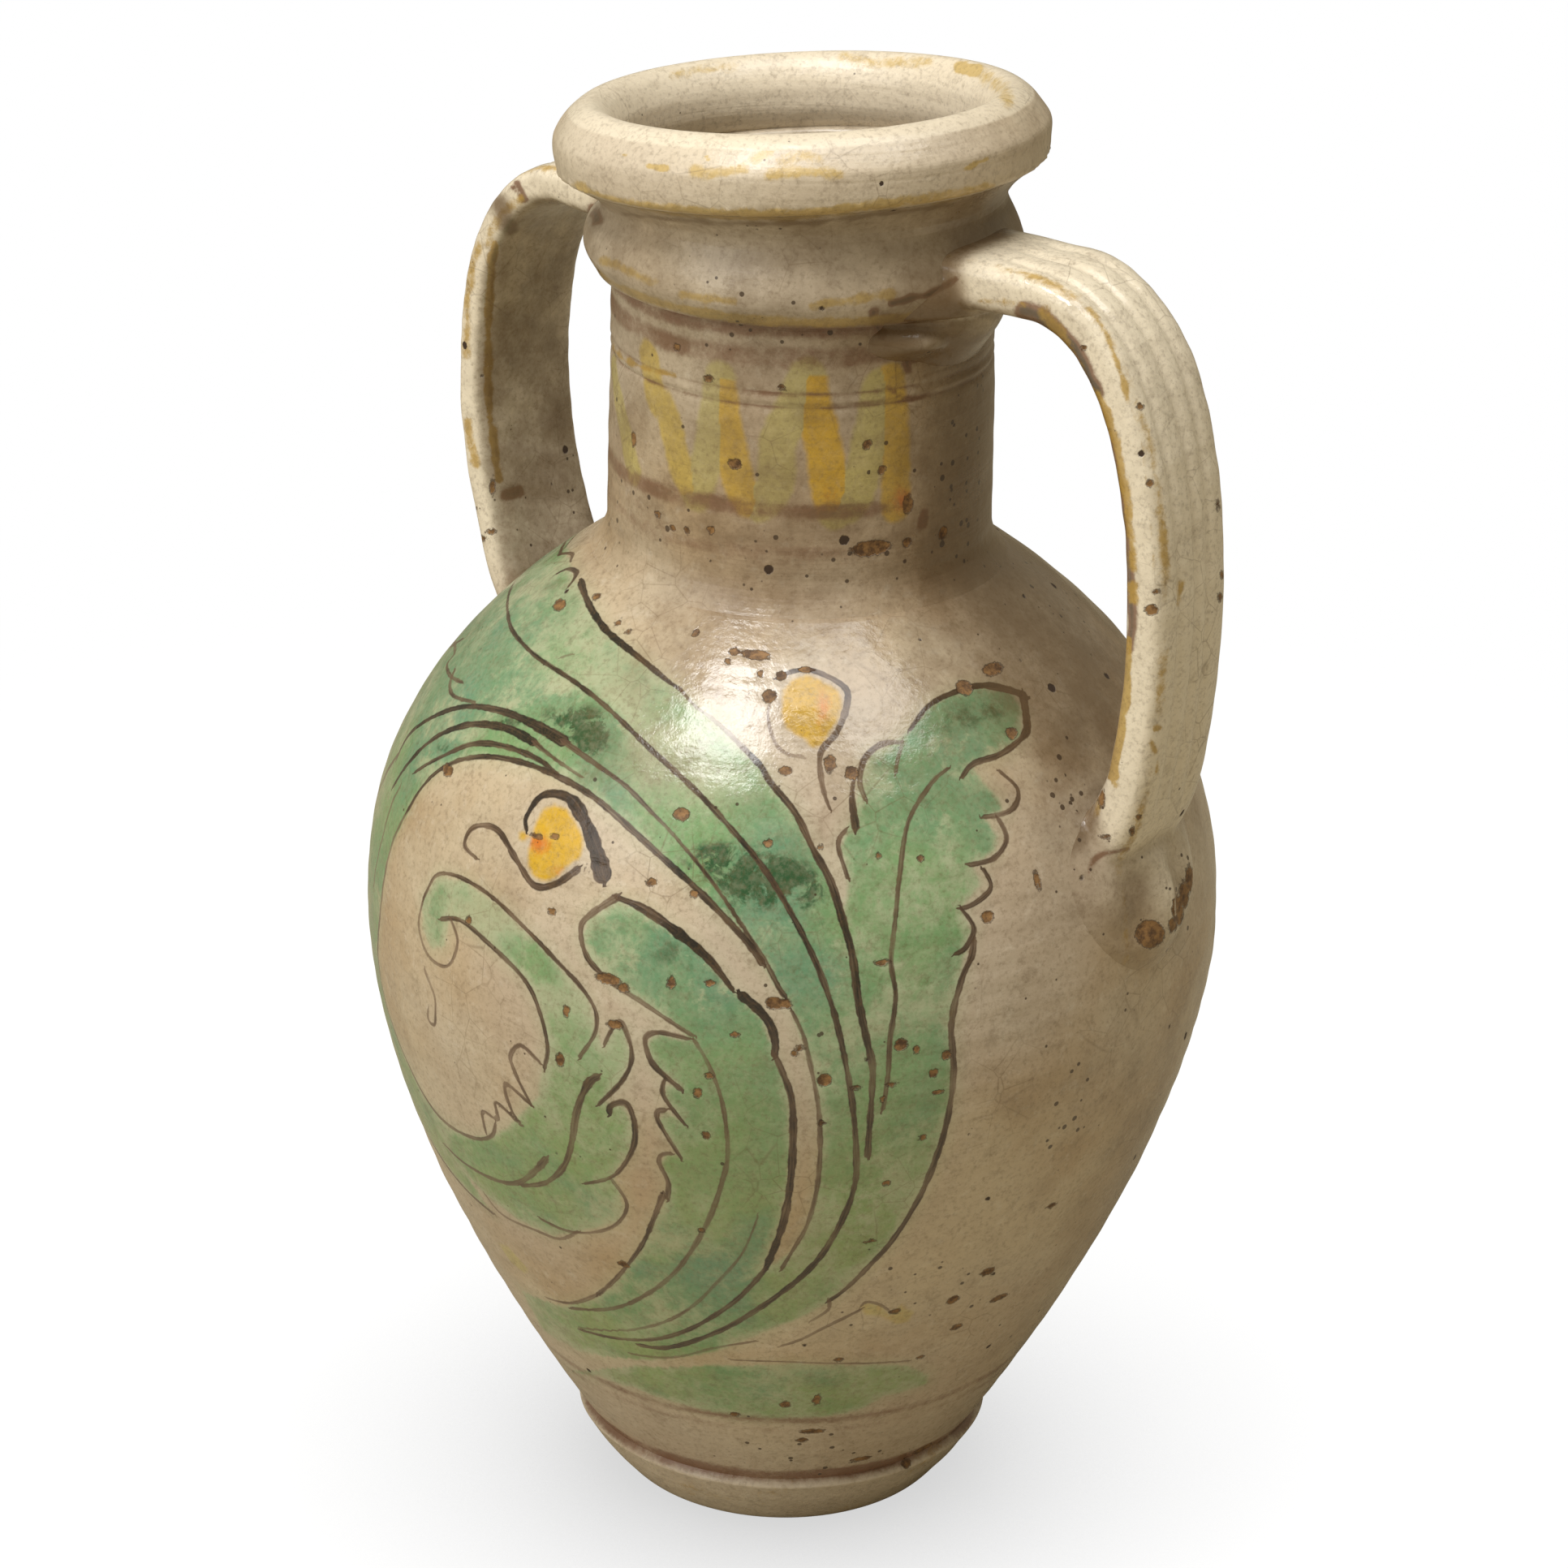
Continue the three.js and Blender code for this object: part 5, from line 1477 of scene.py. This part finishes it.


# Build

# the handle glaze's high light is painted light on the straps
glazes = dict(
    body=makeGlaze("paintedGlaze", ("green", "yellow"), layerCount, wheel=0.25),
    neck=makeGlaze("neckGlaze", ("yellow",), rough=0.1, wheel=0.6),
    plain=makeGlaze("footGlaze", light=0.35, rough=0.06, wheel=0.5),
    rim=makeGlaze("rimGlaze", ochreTone="bareClay", paleTone="palest", light=0.9, rough=0.14, wheel=0.7,
                  paleMask="paleShare"),
    handle=makeGlaze("handleGlaze", paleTone="palest", light=0.95, paleMask="paleShare"),
)
inkLayers = sortLayers([strokeLine(stroke) for stroke in strokes.values()]
                       + [hiddenLine(stroke) for stroke in hiddenStrokes.values()])
print("strokes sorted:", [len(layer) for layer in inkLayers])
thrown = (
    ("foot", makeFoot, "foot", "foot_glaze", "plain", "foot"),
    ("lowerBody", makeLowerBody, "lower_body", "body_glaze", "body", "lower"),
    ("upperBody", makeUpperBody, "upper_body", "body_glaze", "body", "upper"),
    ("neck", makeNeck, "neck", "neck_glaze", "neck", "neck"),
    ("collar", makeCollar, "collar", "rim_glaze", "rim", "collar"),
    ("rim", makeRim, "rim", "rim_glaze", "rim", "rim"),
)
for name, make, node, slot, look, kind in thrown:
    mesh = make()
    paintPot(mesh, kind)
    addPiece(name, mesh, [node], glazes[look])
    print(name, "made:", len(mesh.polygons), "faces")
for name, side in sides.items():
    makeHandle("handle" + name.capitalize(), side)
    print("handle made:", name)


# Floor, light and camera

# metres for the floor and the camera, shares of white for the glow, plain colours for what only the jug sees
studio = dict(halfWidth=6, nearGlow=1.0, contactGlow=0.66, contactReach=0.17, nearColor=0.05, fadeFrom=0.28,
              fadeTo=0.8, unseen=(0.43, 0.38, 0.28), ambient=(0.29, 0.255, 0.18), aim=(0, 0, 0.22),
              sensor=36, clipStart=0.05)


def makeFloor():
    # to the camera the floor is white with a faint shadow; what it throws back at the pot is dimmer
    look = Look("floorWhite")
    away = look.node("ShaderNodeVectorMath", {0: look.place}, operation="LENGTH").outputs["Value"]
    share = look.fade(away, studio["fadeFrom"], studio["fadeTo"])
    grain = look.noiseFade(3, 3, 0.6, 61.0, 0.3, 0.7, 0.97, 1.0)
    shade = look.times(look.fade(share, 0.0, 1.0, studio["nearColor"], 0.0), grain)
    color = look.node("ShaderNodeCombineColor", {0: shade, 1: shade, 2: shade}).outputs[0]
    # the shadow round the jug's foot is painted: ambient occlusion dims the floor's glow
    contact = look.node("ShaderNodeAmbientOcclusion", {"Distance": studio["contactReach"]}, samples=8)
    glow = look.fade(contact.outputs["AO"], 0.3, 0.87, studio["contactGlow"], studio["nearGlow"])
    near = look.node("ShaderNodeBsdfPrincipled", {
        "Base Color": color, "Roughness": 0.9, "Specular IOR Level": 0.0, "Emission Color": (1, 1, 1, 1),
        "Emission Strength": look.fade(share, 0.0, 1.0, glow, 1.0)})
    unseen = look.node("ShaderNodeBsdfDiffuse", {"Color": (*studio["unseen"], 1)})
    path = look.node("ShaderNodeLightPath")
    mix = look.node("ShaderNodeMixShader", {
        0: path.outputs["Is Camera Ray"], 1: unseen.outputs[0], 2: near.outputs[0]})
    look.node("ShaderNodeOutputMaterial", {"Surface": mix.outputs[0]})
    bm = bmesh.new()
    bmesh.ops.create_grid(bm, x_segments=1, y_segments=1, size=studio["halfWidth"])
    mesh = meshFrom(bm, "floor")
    mesh.materials.append(look.material)
    floor = addObject("floor", mesh)


def makeWorld():
    world = bpy.data.worlds.new("studio")
    bpy.context.scene.world = world
    world.use_nodes = True
    nodes, links = world.node_tree.nodes, world.node_tree.links
    nodes.clear()
    mix = nodes.new("ShaderNodeMixShader")
    links.new(nodes.new("ShaderNodeLightPath").outputs["Is Camera Ray"], mix.inputs[0])
    for socket, color in ((1, studio["ambient"]), (2, (1, 1, 1))):
        backdrop = nodes.new("ShaderNodeBackground")
        backdrop.inputs["Color"].default_value = (*color, 1)
        backdrop.inputs["Strength"].default_value = 1
        links.new(backdrop.outputs[0], mix.inputs[socket])
    links.new(mix.outputs[0], nodes.new("ShaderNodeOutputWorld").inputs[0])


lamps = dict(
    key=dict(azimuth=-96, elevation=66, distance=2.2, size=0.8, power=24.5, color=(1, 1, 1)),
    top=dict(azimuth=15, elevation=74, distance=2.3, size=1.2, power=16, color=(1, 1, 1)),
    front=dict(azimuth=-104, elevation=30, distance=2.6, size=1.2, power=6, color=(1, 0.995, 0.985)),
    fill=dict(azimuth=-104, elevation=30, distance=2.6, size=1.9, power=26, color=(1, 0.995, 0.985),
              matt=True),
)


def makeLamps():
    aim = Vector(studio["aim"])
    for name, lamp in lamps.items():
        data = bpy.data.lights.new(name, "AREA")
        data.shape = "SQUARE"
        data.size = lamp["size"]
        data.energy = lamp["power"]
        data.color = lamp["color"]
        light = addObject(name, data)
        light.visible_glossy = "matt" not in lamp  # a matt lamp lights without showing in the glaze
        level, height = wayAt(lamp["elevation"])
        way = Vector((*level * wayAt(lamp["azimuth"]), height))
        light.location = aim + way * lamp["distance"]
        light.rotation_euler = way.to_track_quat("Z", "Y").to_euler()


def makeCamera():
    data = bpy.data.cameras.new("camera")
    data.sensor_width = studio["sensor"]
    data.lens = studio["sensor"] * eye["focal"] / eye["frame"]
    data.clip_start = studio["clipStart"]
    camera = addObject("camera", data)
    camera.matrix_world = Matrix.Translation(Vector(eyePlace) * mm) @ eyeTurn.to_4x4()
    bpy.context.scene.camera = camera


makeFloor()
makeWorld()
makeLamps()
makeCamera()
bpy.context.scene.view_settings.view_transform = "Standard"
